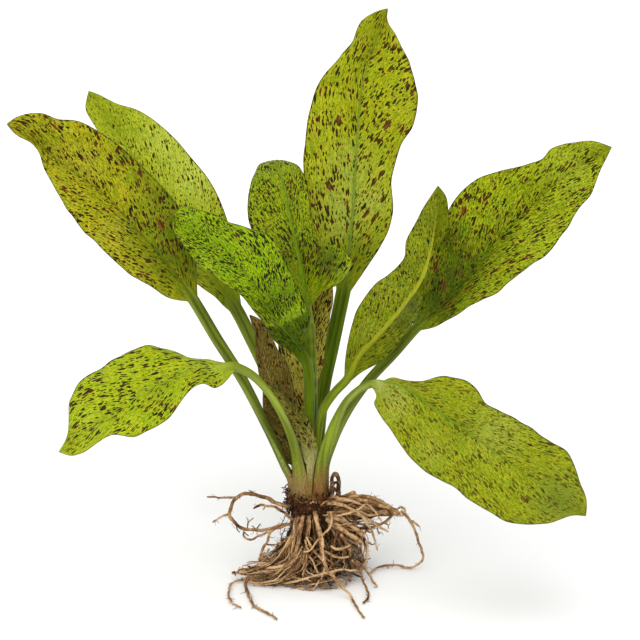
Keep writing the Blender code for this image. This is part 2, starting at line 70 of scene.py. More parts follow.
# Each leaf: where its stalk stands on the crown (degrees from the side nearest the viewer, towards the
# right, and the ring's radius), how wide and deep the stalk is at its foot and top in millimetres, and
# whether the viewer sees the blade's upper side. Then lines of places (pixel across, pixel down,
# millimetres towards the viewer): the stalk up to the blade, the midrib from there to the tip, and the
# two margins between the same ends.
LEAVES = {
    "leaf_far_left": dict(
        foot=(-85, OUTER_RING), width=(5.8, 4.9), depth=(3.2, 3.4), upper_side=True,
        stalk=[(285, 466, -19), (268.5, 430, -17), (240.7, 376, -15), (217, 339, -14), (193, 299, -14)],
        rib=[(176, 274, -15), (159, 254, -17), (136, 229, -18), (103, 194, -17), (71, 170, -13),
             (40, 145, -8), (6.6, 124, -3)],
        left=[(171.5, 299, -10), (145.5, 284.5, -8), (108, 255.5, -7), (71, 216, -6), (48, 173, -5),
              (33, 146, -4), (12, 131, -3)],
        right=[(197, 270, -19), (196, 240, -21), (179, 207, -21), (149, 173, -18), (103, 134, -14),
               (76, 120.6, -9), (58, 119, -8), (41.5, 112.8, -4), (13, 119, -3)]),
    "leaf_upper_left": dict(
        foot=(-140, OUTER_RING), width=(5.2, 5.8), depth=(3.2, 3.4), upper_side=True,
        stalk=[(297, 466, -32), (284, 424, -36), (268, 375, -40), (250, 336, -43), (235.5, 308, -44)],
        rib=[(222, 288, -45), (200, 255, -48), (172, 212, -50), (140, 165, -50), (110, 122, -48),
             (88.7, 90.8, -43)],
        left=[(208, 293, -43), (180, 270, -43), (150, 235, -45), (125, 195, -46), (108, 155, -46),
              (94.5, 126, -44), (86.2, 105, -42)],
        right=[(239, 287, -47), (237, 255, -50), (228, 221, -51), (214, 188, -52), (192, 158, -52),
               (166, 130, -51), (139, 110.7, -49), (116, 103, -46), (97.8, 94, -44)]),
    "leaf_inner_left": dict(
        foot=(-15, INNER_RING), width=(3.4, 4.4), depth=(2.6, 3.4), upper_side=False,
        stalk=[(307.5, 470, -21), (309.5, 440, -16.5), (309.5, 400, -12), (306.5, 362, -4)],
        rib=[(296, 342, 6), (282, 326, 15), (270, 312, 18), (256, 289, 15), (240, 268, 11), (222, 252, 6),
             (200, 238, 1), (184, 226, -4), (172, 215, -10)],
        left=[(288, 350, 6), (275, 342, 10), (263, 323, 17), (250, 307, 18), (233, 290, 17),
              (215, 276, 14), (198, 265, 8), (184, 246, 1), (173, 229, -6)],
        right=[(306, 336, 8), (310, 318, 15), (305, 303, 17), (296, 282, 12), (285, 259, 7),
               (271, 238, 3), (249, 228, 0), (228, 220, -2), (206, 212, -5), (183, 207, -10)]),
    "leaf_centre": dict(
        foot=(129, INNER_RING), width=(3.4, 4.6), depth=(2.6, 3.4), upper_side=True,
        stalk=[(314, 470, -27), (314, 440, -24), (313, 400, -18), (311.5, 360, -13), (309.5, 330, -10),
               (306, 306, -8)],
        rib=[(303, 275, -10), (297, 249, -13), (291, 222, -17), (285, 195, -22), (279, 171, -29),
             (275, 160.5, -37), (273, 166, -45), (272, 180, -50)],
        left=[(292, 296, -8), (276, 274, -9), (262, 248, -12), (249, 222, -17), (248, 196, -23),
              (253, 175.5, -31), (260, 165.5, -39), (267, 171, -46)],
        right=[(323, 293, -5), (342, 283, -1), (354, 266, -3), (345, 251, -8), (323, 243, -12),
               (314, 226, -16), (310, 203, -20), (305, 176.5, -27), (296, 163.5, -36), (283, 169, -45)]),
    "leaf_tall": dict(
        foot=(158, OUTER_RING), width=(5.4, 6.2), depth=(3.2, 4.2), upper_side=True,
        stalk=[(317, 466, -34), (318, 440, -36), (320.5, 410, -38), (324.7, 380, -40), (331.2, 350, -41),
               (337.4, 320, -41), (343.5, 290, -41)],
        rib=[(350, 240, -41), (354, 191, -41), (357, 141, -40), (360, 100, -38), (368, 62, -35),
             (381, 30, -30), (387.8, 8.3, -24)],
        left=[(333, 268, -39), (314, 240, -38), (305.5, 196, -37), (304, 150, -36), (310, 110, -35),
              (321, 80, -33), (341, 55, -31), (352, 43, -29), (361, 22, -26), (374, 12, -25)],
        right=[(364, 272, -40), (380, 248, -39), (393, 212, -38), (392, 180, -38), (400, 148, -35),
               (414, 124, -32), (417, 96, -30), (410, 64, -30), (396, 35, -28), (387.5, 20, -26)]),
    "leaf_low_left": dict(
        foot=(-33, OUTER_RING), width=(4.2, 4.2), depth=(3.2, 3.4), upper_side=True,
        stalk=[(296, 452, -11), (285, 419, -2), (267, 389, 6), (250, 373, 12), (234, 366, 16)],
        rib=[(205, 366, 21), (165, 382, 27), (125, 405, 31), (100, 421, 32), (80, 435, 31), (58.5, 452, 29)],
        left=[(215, 388, 24), (200, 386, 28), (185, 393, 34), (174, 411, 38), (158, 427, 41),
              (139, 436, 43), (112, 434, 42), (91, 447.5, 38), (74, 456, 33)],
        right=[(221, 362, 15), (205, 361.5, 13), (190, 357.5, 12), (178, 350.5, 12), (165, 346, 12),
               (147, 345, 13), (120, 357, 16), (98, 368, 19), (82, 380, 22), (70, 400, 25),
               (69, 420, 28), (66, 438, 29)]),
    "leaf_upright_right": dict(
        foot=(57, INNER_RING), width=(3.4, 3.6), depth=(2.6, 3.0), upper_side=False,
        stalk=[(317.5, 462, -22.5), (317.8, 434, -18.5), (324, 408, -12), (335, 392, -7), (348, 378, -3)],
        rib=[(361, 354, 1), (376, 338, 5), (403, 307, 9), (421, 282, 8), (430, 256, 3), (435, 226, -3),
             (437.9, 185.4, -8)],
        left=[(345, 362, 0), (348, 340, 2), (356, 312, 3), (373, 286, 4), (394, 270, 4), (404, 256, 2),
              (406, 242, -1), (414, 226, -3), (428, 200, -7)],
        right=[(361, 373, -1), (381, 361.5, 2), (398.5, 344.5, 2), (412.5, 325, 0), (419, 311, -1),
               (422, 295, -2), (425, 278, -4), (428, 263, -5), (434, 249, -7), (442, 240, -9),
               (447, 231, -10), (450, 213, -11), (446, 196, -10)]),
    "leaf_far_right": dict(
        foot=(97, OUTER_RING), width=(4.8, 4.4), depth=(3.2, 3.4), upper_side=True,
        stalk=[(325, 466, -25), (331.5, 445, -23), (345, 415, -21), (365.5, 384, -20), (394, 353, -19),
               (417, 327, -18)],
        rib=[(446, 301, -20), (467, 277, -22), (487, 251, -22), (519, 218, -21), (551, 188, -18),
             (582, 165, -14), (612, 147, -8)],
        left=[(407, 318, -21), (413, 298, -23), (422, 272, -25), (433, 244, -26), (444, 219, -24),
              (455, 199, -22), (474, 181, -19), (502, 170, -17), (528, 164.5, -15), (543, 158.5, -12),
              (551, 149, -11), (562, 144.5, -10), (588, 140.5, -8)],
        right=[(431, 328, -15), (460, 313.5, -13), (488, 298, -12), (512, 280, -12), (547.5, 253, -12),
               (567.5, 229, -13), (578, 210, -14), (592, 192, -12), (603, 166, -10)]),
    "leaf_low_right": dict(
        foot=(48, OUTER_RING), width=(4.6, 4.6), depth=(3.2, 3.4), upper_side=True,
        stalk=[(322, 462, -14), (327, 446, -9), (337, 420, -2), (351, 398, 6), (371, 385, 13)],
        rib=[(398, 388, 20), (433, 409, 26), (467, 433, 29), (513, 466, 31), (551, 493, 31),
             (586, 516, 30)],
        left=[(372, 388, 19), (376.5, 397.5, 21), (374, 402.5, 22.5), (377, 410, 24.5),
              (386.5, 424, 28), (401, 446, 32), (420.5, 467, 37), (447, 484.5, 41),
              (480, 506, 43), (513, 524, 43), (545, 523, 40), (571, 516, 34)],
        right=[(390, 381, 12), (421, 379.5, 13), (446, 376, 14), (465.5, 381, 14), (493, 407.5, 17),
               (520, 421, 17), (550, 440, 19), (570, 458, 21), (580, 481, 25), (587, 502, 28)]),
    "leaf_young_brown": dict(
        foot=(-87, INNER_RING), width=(3.2, 3.4), depth=(2.6, 2.6), upper_side=False,
        stalk=[(302.5, 477, -24.5), (299, 465, -23.5)],
        rib=[(293, 446, -22), (286, 420, -20), (276, 395, -18), (269, 376, -17.5), (262, 355, -17),
             (255, 334, -16), (249.5, 314.5, -15)],
        left=[(287, 463, -23), (276, 445, -21.5), (268.5, 429, -20), (263, 409, -18.5), (262, 386, -17),
              (258, 370, -16), (254.6, 344, -15.5), (252.5, 327, -15)],
        right=[(304, 449, -22), (303, 432, -20), (299, 408, -17), (293, 385, -14), (288, 368, -13),
               (281, 352, -13), (275, 339, -13.5), (267, 327, -14.5), (258, 318, -15)]),
    "leaf_young_yellow": dict(
        foot=(201, INNER_RING), width=(3.2, 3.4), depth=(2.6, 2.6), upper_side=True,
        stalk=[(306, 468, -29), (307, 445, -28)],
        rib=[(309, 415, -27), (309, 380, -26.5), (312, 330, -26), (316, 295, -26), (319, 266, -26)],
        left=[(300, 420, -26), (292, 398, -24), (282, 370, -23), (278, 346, -23), (286, 315, -24),
              (302, 285, -25)],
        right=[(316, 410, -27), (317.8, 392, -26), (320.5, 375, -25), (324, 357, -24), (327, 338, -23),
               (330.5, 317, -23), (333, 297, -23), (329.5, 276, -24)]),
    "leaf_young_spotted": dict(
        foot=(6, OUTER_RING), width=(2.6, 4.2), depth=(2.2, 2.0), upper_side=False,
        stalk=[(310, 480, -16.5), (310.5, 463, -13.5)],
        rib=[(310, 443, -12), (303, 426, -11), (291, 409, -11), (277, 393, -12), (264, 381, -13)],
        left=[(302.5, 456, -13), (296.5, 440, -11), (289, 418, -11), (276, 402, -12)],
        right=[(318, 449, -12), (313, 430, -12), (300, 411, -13), (284, 394, -13.5)]),
}

# How each leaf looks. Colours are linear red, green, blue: `main`, `deep` where the blade is darker and in
# its painted shade, `edge` near its margin and where streaks catch the light, `pale` in its pale patches,
# which are partly painted sheen, `rib` and `stalk`. `main` and `deep` are set leaf by leaf to how bright
# each leaf shows, so they also hold painted light and shade.
# `shares` is how much of the blade the small, middle and large marks take, `mark_size` how large they are
# against other leaves, `red` how reddish. `slant` is the angle between veins and midrib in the left and
# right halves, `rib_width` the midrib's width in centimetres on the side that the viewer sees, `ruffle`
# how far the margin waves in millimetres. `sheath` is the width of the stalk's foot in millimetres where
# it wraps the crown, `sheath_height` how high it stays wide, `foot_colour` its colour and `foot_brown`
# how brown it is. `patches` are soft places of painted shade, and paler places that are partly painted
# sheen: pixel across, pixel down, radius in pixels, how much painted shade, how much paler. `fold` is a
# line of pixels along which the blade is folded; the blade is painted lighter along it and just above it,
# as a highlight, and darker below it, as shade.
LOOKS = {
    "leaf_far_left": dict(
        main=(0.278, 0.272, 0.003), deep=(0.090, 0.145, 0.002), edge=(0.40, 0.36, 0.015),
        pale=(0.38, 0.33, 0.055), rib=(0.10, 0.11, 0.015), stalk=(0.138, 0.180, 0.017),
        shares=(0.52, 0.48, 0.18), red=0.9, sheath=8.6, sheath_height=17, mark_size=0.85, ruffle=0.45,
        foot_colour=(0.27, 0.195, 0.070), foot_brown=0.35,
        patches=[(166, 262, 32, 0.75, 0), (135, 225, 22, 0.4, 0), (190, 235, 22, 0.5, 0),
                 (124, 152, 11, 0.6, 0), (142, 172, 14, 0.8, 0), (160, 194, 17, 0.85, 0),
                 (180, 222, 20, 0.8, 0), (190, 252, 20, 0.7, 0),
                 (80, 165, 20, 0, 0.35), (112, 232, 14, 0, 0.45), (45, 140, 16, 0.25, 0)]),
    "leaf_upper_left": dict(
        main=(0.30, 0.36, 0.010), deep=(0.17, 0.23, 0.005), edge=(0.40, 0.45, 0.025),
        pale=(0.47, 0.53, 0.105), rib=(0.16, 0.22, 0.02), stalk=(0.15, 0.20, 0.020),
        shares=(0.32, 0.26, 0.05), red=0.9, sheath=6.6, mark_size=0.70,
        patches=[(198, 176, 26, 0, 0.75), (165, 140, 22, 0, 0.6), (125, 118, 16, 0.2, 0),
                 (225, 262, 26, 0.9, 0), (228, 300, 20, 0.9, 0)]),
    "leaf_inner_left": dict(
        main=(0.168, 0.280, 0.001), deep=(0.040, 0.078, 0.001), edge=(0.25, 0.36, 0.003),
        pale=(0.36, 0.46, 0.030), rib=(0.11, 0.18, 0.010), stalk=(0.120, 0.190, 0.004),
        shares=(0.88, 0.70, 0.05), red=0.15, sheath=5.0, slant=(18, 18), mark_size=0.74,
        patches=[(242, 238, 9, 0, 0.45), (207, 267, 9, 0, 0.5), (270, 312, 22, 0.55, 0),
                 (290, 290, 20, 0.55, 0), (190, 212, 12, 0, 0.35)],
        fold=[(257, 326), (266, 326), (276, 325), (290, 320), (303, 313), (311, 303)]),
    "leaf_centre": dict(
        main=(0.168, 0.230, 0.001), deep=(0.054, 0.080, 0.001), edge=(0.26, 0.32, 0.006),
        pale=(0.31, 0.36, 0.045), rib=(0.13, 0.23, 0.008), stalk=(0.105, 0.165, 0.003),
        shares=(0.76, 0.66, 0.10), red=0.35, rib_width=0.17, sheath=5.0, mark_size=0.78, ruffle=0.3,
        patches=[(329, 263, 15, 0.95, 0), (352, 270, 8, 0, 0.5), (306, 250, 18, 0.5, 0),
                 (313.5, 308, 4, 0, 0.6), (311.5, 320, 4, 0, 0.6), (311, 333, 4, 0, 0.5),
                 (312.5, 347, 3, 0, 0.5), (314, 362, 2.2, 0, 0.6), (315, 376, 2.2, 0, 0.6),
                 (316, 390, 2.2, 0, 0.5),
                 (283, 262, 16, 0.4, 0), (275, 178, 14, 0, 0.2)]),
    "leaf_tall": dict(
        main=(0.285, 0.305, 0.003), deep=(0.135, 0.185, 0.003), edge=(0.35, 0.37, 0.014),
        pale=(0.31, 0.41, 0.120), rib=(0.17, 0.26, 0.03), stalk=(0.085, 0.138, 0.004),
        shares=(0.46, 0.46, 0.26), red=0.9, rib_width=0.13, slant=(9, 30), sheath=6.6,
        patches=[(352, 165, 22, 0, 0.45), (344, 212, 26, 0, 0.6), (378, 200, 14, 0, 0.35),
                 (376, 252, 20, 0.8, 0), (345, 262, 20, 0.8, 0), (330, 80, 12, 0.2, 0),
                 (372, 24, 12, 0.2, 0)]),
    "leaf_low_left": dict(
        main=(0.270, 0.335, 0.002), deep=(0.150, 0.215, 0.002), edge=(0.36, 0.41, 0.016),
        pale=(0.42, 0.47, 0.085), rib=(0.26, 0.37, 0.04), stalk=(0.195, 0.250, 0.018),
        shares=(0.50, 0.44, 0.12), red=0.3, sheath=9.2, mark_size=0.9,
        foot_colour=(0.27, 0.185, 0.062), foot_brown=0.45,
        patches=[(215, 365, 14, 0, 0.5), (190, 360, 10, 0, 0.25), (160, 400, 20, 0.3, 0),
                 (205, 381, 10, 0.5, 0), (90, 425, 14, 0, 0.25)]),
    "leaf_upright_right": dict(
        main=(0.136, 0.170, 0.002), deep=(0.062, 0.086, 0.001), edge=(0.22, 0.25, 0.007),
        pale=(0.29, 0.31, 0.045), rib=(0.30, 0.31, 0.015), stalk=(0.165, 0.220, 0.010),
        shares=(0.38, 0.24, 0.02), red=0.6, rib_width=0.22, sheath=5.0, mark_size=0.72, ruffle=0.5,
        patches=[(370, 330, 14, 0, 0.30), (436, 222, 12, 0.4, 0), (413, 306, 8, 0.85, 0),
                 (404, 326, 9, 0.85, 0), (391, 346, 9, 0.75, 0), (376, 362, 8, 0.6, 0),
                 (424, 284, 7, 0.7, 0), (410, 262, 10, 0.3, 0), (385, 290, 14, 0, 0.25)]),
    "leaf_far_right": dict(
        main=(0.212, 0.262, 0.002), deep=(0.034, 0.060, 0.001), edge=(0.32, 0.37, 0.008),
        pale=(0.42, 0.49, 0.040), rib=(0.055, 0.115, 0.006), stalk=(0.130, 0.175, 0.012),
        shares=(0.52, 0.50, 0.16), red=0.75, sheath=6.6, mark_size=0.86,
        patches=[(436, 298, 28, 1.0, 0), (462, 268, 28, 0.75, 0), (448, 235, 18, 0.6, 0),
                 (500, 240, 24, 0.3, 0), (572, 168, 26, 0, 0.75), (540, 235, 16, 0, 0.25)]),
    "leaf_low_right": dict(
        main=(0.205, 0.240, 0.005), deep=(0.120, 0.170, 0.002), edge=(0.29, 0.31, 0.012),
        pale=(0.40, 0.43, 0.140), rib=(0.115, 0.215, 0.010), stalk=(0.200, 0.260, 0.022),
        shares=(0.58, 0.42, 0.10), red=0.4, rib_width=0.10, sheath=7.6, mark_size=0.85,
        foot_colour=(0.250, 0.150, 0.042), foot_brown=0.9,
        patches=[(379, 387, 5, 0, 0.9), (392, 390, 12, 0, 0.4), (398, 405, 14, 0, 0.35),
                 (498, 432, 24, 0, 0.35), (430, 450, 14, 0, 0.2),
                 (560, 500, 24, 0.80, 0.25), (455, 430, 18, 0.3, 0)]),
    "leaf_young_brown": dict(
        main=(0.130, 0.096, 0.011), deep=(0.060, 0.046, 0.006), edge=(0.23, 0.17, 0.036),
        pale=(0.30, 0.17, 0.040), rib=(0.34, 0.20, 0.12), stalk=(0.085, 0.085, 0.012),
        shares=(0.60, 0.42, 0.04), red=0.9, rib_width=0.06, sheath=4.0, mark_size=0.75,
        patches=[(256, 322, 8, 0, 0.7), (260, 342, 8, 0, 0.3), (272, 420, 20, 0.6, 0),
                 (286, 372, 10, 0.6, 0), (290, 396, 12, 0.6, 0), (262, 385, 9, 0.3, 0)]),
    "leaf_young_yellow": dict(
        main=(0.370, 0.320, 0.020), deep=(0.130, 0.100, 0.003), edge=(0.48, 0.42, 0.060),
        pale=(0.64, 0.53, 0.080), rib=(0.16, 0.15, 0.02), stalk=(0.110, 0.130, 0.012),
        shares=(0.72, 0.66, 0.16), red=1.0, sheath=4.0, mark_size=0.85,
        patches=[(325, 300, 16, 0.4, 0), (322, 345, 10, 0, 0.4), (289, 360, 16, 0, 0.9),
                 (298, 388, 14, 0, 0.9), (301, 412, 12, 0, 0.7), (318, 380, 10, 0, 0.3)]),
    "leaf_young_spotted": dict(
        main=(0.118, 0.108, 0.008), deep=(0.058, 0.058, 0.005), edge=(0.23, 0.20, 0.032),
        pale=(0.34, 0.33, 0.115), rib=(0.14, 0.13, 0.03), stalk=(0.380, 0.370, 0.150),
        shares=(0.62, 0.50, 0.16), red=0.5, sheath=1.8, mark_size=0.75,
        patches=[(308, 455, 12, 0, 0.8), (306, 438, 10, 0, 0.35)]),
}

# Single roots that stand clear of the mass: radius at the crown end and at the tip in millimetres, and
# a line of places (pixel across, pixel down, height in millimetres above the ground).
ROOTS = {
    "root_left_loop": dict(radius=(0.9, 0.6), tone=0.5, places=[
        (300, 508, 28.8), (289, 506.5, 29.6), (273.5, 502, 31.5), (262.5, 496.3, 33.9), (252, 494, 34.9),
        (241, 495, 34.5), (234.4, 499.8, 32.4), (230.3, 508, 28.9), (230.8, 517, 25.1), (235.7, 524, 22.1),
        (243.4, 528.8, 20.1), (254.2, 529.7, 19.7), (264, 529.7, 19.7), (272, 528.5, 20.2),
        (280, 525.3, 21.6), (290, 523.5, 22.3)]),
    "root_left_twig_high": dict(radius=(0.5, 0.35), places=[
        (240, 497.5, 33.4), (225, 497.8, 33.3), (207, 496.6, 33.8)]),
    "root_left_twig_low": dict(radius=(0.5, 0.35), places=[
        (230, 513.5, 26.6), (221, 517, 25.1), (212.8, 522.4, 22.8)]),
    "root_left_short": dict(radius=(0.7, 0.45), tone=0.6, places=[
        (293, 520, 25.3), (284, 513, 28.3), (275, 506.5, 31), (266, 506, 31.2), (261, 505.2, 31.6),
        (253.6, 508.7, 30.1)]),
    "root_left_hanging": dict(radius=(0.65, 0.5), tone=0.4, places=[
        (290, 524, 23.9), (280, 527, 22.6), (272, 530.4, 21.2), (266.3, 542.5, 15.9), (261.2, 553.3, 11.2),
        (259.5, 561, 7.9)]),
    "root_front_left_outer": dict(radius=(0.45, 0.36), places=[
        (243, 580, 1.4), (236, 581, 1), (229, 588, 1), (229, 596, 1), (233, 603, 1),
        (241, 607.5, 1)]),
    "root_front_left_inner": dict(radius=(0.65, 0.45), tone=0.5, places=[
        (249, 577, 3.2), (246, 583, 1.6), (248, 592, 1.1), (254, 605, 1), (264, 611, 1), (277, 619, 1)]),
    "root_front_right": dict(radius=(0.85, 0.38), places=[
        (315, 512, 30.5), (316.5, 520, 28.4), (322, 542, 20.8), (325, 566, 12.6), (337, 581, 7.4),
        (348, 593, 3), (356, 606, 1.1), (364, 618, 1)]),
    "root_right_short_front": dict(radius=(0.55, 0.4), tone=0.55, places=[
        (352, 560, 10), (358, 568, 7.6), (363.5, 581, 3.2), (368.5, 595, 0.9), (363, 603, 0.9)]),
    "root_right_short_back": dict(radius=(0.5, 0.36), places=[
        (356, 561, 8.4), (363, 567, 6.4), (369, 575, 2.4), (377, 586, 0.9)]),
    "root_right_long": dict(radius=(0.6, 0.42), places=[
        (401, 511, 27.6), (409, 519, 24.2), (415.5, 533, 18), (421, 548, 10.8), (421.5, 561, 3.6),
        (415, 567, 1.4), (396, 565, 1.1), (380, 567, 1.1), (370, 573, 1.1)]),
    "root_right_twig": dict(radius=(0.5, 0.36), places=[
        (410.5, 520.8, 23.6), (415, 523.2, 22.4), (419.5, 526.3, 21)]),
    "root_right_knot": dict(radius=(0.85, 0.75), tone=0.85, places=[
        (329, 501, 32), (332.4, 495, 34.5), (331.8, 486, 38.4), (331.8, 478, 41.8), (335, 473.5, 43.6),
        (338.4, 479, 41.2), (339.2, 490, 36.6), (337.6, 500, 32.2), (330, 507, 29.6)]),
}

# Roots that can be told apart in the mass: the two radii in millimetres, the tone from 0, pale, to 1,
# dark, and a line of places (pixel across, pixel down, millimetres in front of the plant's axis).
MAT_GUIDES = [
    (1.00, 0.55, 0.25, [(316, 515, 8), (318, 529, 10.5), (320, 537, 12), (321.5, 546, 14),
        (322.6, 554, 15.5), (324.5, 560, 17), (325, 566, 18)]),
    (0.95, 0.80, 0.45, [(309.8, 515, 8), (309.2, 526, 10.5), (307.3, 534, 12.5), (306.5, 539, 13.5)]),
    (0.50, 0.42, 0.30, [(306.5, 537, 13.5), (311, 546.4, 15.5), (316.2, 553.4, 17), (322.6, 561, 18.5),
        (327, 566, 20)]),
    (0.50, 0.35, 0.10, [(330.9, 512, 8), (331.7, 521.5, 10.5), (327, 530.4, 13), (322, 536, 14.5),
        (315, 543.8, 16.5), (309.2, 550.8, 17.5), (303.5, 552, 17)]),
    (0.42, 0.34, 0.35, [(305, 540, 13), (306.5, 547, 15), (308, 553.4, 16.5), (312.4, 560.4, 18),
        (315.6, 567.4, 19.5), (318.1, 574, 21)]),
    (0.42, 0.32, 0.35, [(308, 548, 15), (306.8, 556, 17), (306, 566, 19), (303.5, 574, 20.5),
        (302.8, 583, 20.5)]),
    (0.45, 0.36, 0.25, [(325, 561, 17.5), (325.4, 565, 18.8), (323.9, 571, 20), (320.7, 583, 20.5)]),
    (0.85, 0.70, 0.35, [(303, 515, 8), (301, 527, 11), (299, 538, 13), (297, 549, 15), (294.5, 561, 17)]),
    (0.80, 0.60, 0.50, [(299, 516, 7), (295, 528, 10), (292, 540, 12.5), (289, 552, 14.5)]),
    (0.80, 0.65, 0.20, [(295, 560, 18.5), (284, 565.5, 18.5), (271, 568, 16), (257, 570, 13),
        (245, 573, 11)]),
    (0.48, 0.38, 0.00, [(281.8, 584.3, 17.5), (293.3, 581.6, 20), (306, 578.4, 22.5), (318.8, 575, 23),
        (328.3, 572, 22.5), (341, 569.5, 20), (351, 570.8, 17), (361, 568.5, 13), (366.6, 560.5, 9.5),
        (367.6, 549.5, 7), (364.5, 536, 4.5)]),
    (0.60, 0.42, 0.15, [(331, 546, 14), (336, 549, 15), (345, 547.8, 14), (350, 545, 12)]),
    (0.48, 0.36, 0.25, [(324, 551, 16), (330, 554, 17), (336, 556.5, 17), (349.4, 557, 14)]),
    (0.85, 0.60, 0.55, [(341, 534, 9), (345, 541, 10.5), (348.8, 548.5, 12), (350, 556, 13)]),
    (0.55, 0.40, 0.70, [(276, 589.5, 18), (272, 591, 17.5), (267.8, 593, 17)]),
    (0.45, 0.35, 0.30, [(296, 588, 19), (302, 592, 21), (309, 592.5, 22), (315, 587, 22), (319, 580, 22)]),
    (0.40, 0.30, 0.45, [(262, 582, 15), (274, 583, 17), (288, 585.5, 19), (300, 586, 20), (313, 584, 21),
        (325, 582, 21), (337, 577, 19)]),
    (0.45, 0.30, 0.40, [(320, 586, 20), (328, 589, 20), (337, 591.5, 20)]),
    (0.34, 0.26, 0.75, [(296, 498, 8.0), (300, 501.5, 8.5), (304, 502.5, 8.9), (308, 501, 9.1)]),
    (0.36, 0.26, 0.30, [(320.5, 505, 8.8), (324.5, 502.5, 8.2), (328.5, 501, 7.4)]),
    (0.40, 0.30, 0.30, [(310.5, 503.5, 9.0), (314, 501.5, 9.1), (317, 503, 9.0)]),
    (0.55, 0.45, 0.60, [(338, 520, 6), (337, 532, 9), (334, 544, 12), (331, 556, 15), (332, 566, 17)]),
]
SHEAF_RIGHT_GUIDES = [
    (1.00, 0.80, 0.10, [(329, 513, 5), (333.3, 517.2, 6.5), (344.6, 521.4, 7.5), (353.7, 527.7, 7.5),
        (364, 536, 6)]),
    (1.00, 0.80, 0.10, [(327, 519, 6.5), (332.6, 523.5, 8), (343.2, 530.5, 9), (353.7, 536.8, 8.5),
        (361.8, 542.2, 7)]),
    (0.85, 0.80, 0.45, [(339, 499, 3), (344, 496.8, 3.5), (350, 494.3, 4), (355.4, 492.3, 4)]),
    (0.95, 0.85, 0.35, [(331, 499.5, 2), (341, 497.4, 3), (355, 495.8, 3.5), (363.5, 497, 3),
        (370.5, 498, 2.5), (380.4, 501.2, 2), (387.4, 505.4, 1), (394.5, 510.4, 0), (400, 514.5, 0)]),
    (0.90, 0.60, 0.40, [(331, 501.5, 4), (343, 500, 5), (357, 499.5, 5.5), (370, 501.5, 5), (382, 505.5, 3),
        (391, 510, 1.5), (399, 513, 0.5)]),
    (0.85, 0.35, 0.20, [(327, 503.5, 5.5), (334, 503.6, 6.5), (346.7, 506.4, 7.5), (353.7, 510.4, 8),
        (359.3, 514, 8), (364.9, 520.2, 7.5), (367.7, 525, 7), (372, 530.5, 6.5), (375.4, 543.2, 6),
        (377.5, 550.4, 6)]),
    (0.80, 0.50, 0.20, [(333, 496.5, 5), (341, 498.5, 6.5), (351.6, 501, 7.5), (360, 504, 8)]),
    (0.45, 0.30, 0.00, [(336.8, 516, 10), (350.9, 512, 10.5), (359.3, 508.8, 10.2), (365.6, 504.8, 8),
        (373.3, 510.2, 6.5), (379.6, 518, 5.5), (381.8, 522.4, 5)]),
    (0.70, 0.42, 0.25, [(349, 511, 8.5), (359, 515, 8), (369, 520, 6.5), (377.5, 525.6, 5),
        (388.8, 532, 3.5)]),
    (0.60, 0.55, 0.50, [(392.5, 514.5, 1.5), (385.3, 521.4, 3.5), (378.2, 525.8, 4.5), (370.5, 528, 5),
        (365, 532.5, 5.5)]),
    (0.55, 0.45, 0.15, [(394, 512, 2), (399, 515.5, 1.5), (403.8, 514, 1), (405, 509.8, 0.5),
        (401.5, 507.6, 0), (397.5, 509.5, 0), (396, 513, 1)]),
    (0.32, 0.22, 0.60, [(368.4, 541.8, 6), (372, 545, 6), (376, 543, 6)]),
    (0.40, 0.25, 0.65, [(358, 541, 7), (360.7, 548.4, 7), (363, 557, 7)]),
    (0.35, 0.22, 0.55, [(377, 528, 4.5), (379.5, 533, 4.5), (380, 534, 4.5)]),
    (0.35, 0.25, 0.45, [(384, 523, 4), (387.5, 526, 3.6), (388, 529, 3.5)]),
    (0.62, 0.45, 0.80, [(330.5, 498, 1), (331.5, 490, 0.8), (333.2, 483.5, 0.5), (336, 483, 0.5),
        (337.2, 490, 0.5), (335.4, 499, 1)]),
    (0.50, 0.40, 0.65, [(330, 489, 1.2), (333, 487.5, 1.3), (336, 491, 1.2), (339.5, 493, 1)]),
]
SHEAF_LEFT_GUIDES = [
    (0.55, 0.40, 0.35, [(255, 566.5, 11), (247, 569, 10.5), (238, 569.5, 9.5)]),
    (0.60, 0.45, 0.60, [(254, 573, 13), (243, 573.5, 12), (232, 572.3, 11)]),
    (0.45, 0.30, 0.55, [(247, 571, 12), (240, 570, 11.5), (235, 576, 12)]),
    (0.40, 0.25, 0.65, [(250, 568.5, 10.5), (247.5, 565.5, 10)]),
    (0.40, 0.32, 0.35, [(278, 583, 17), (268, 584.5, 17), (258, 583, 16), (249, 581, 14.5),
        (241, 578, 13)]),
]
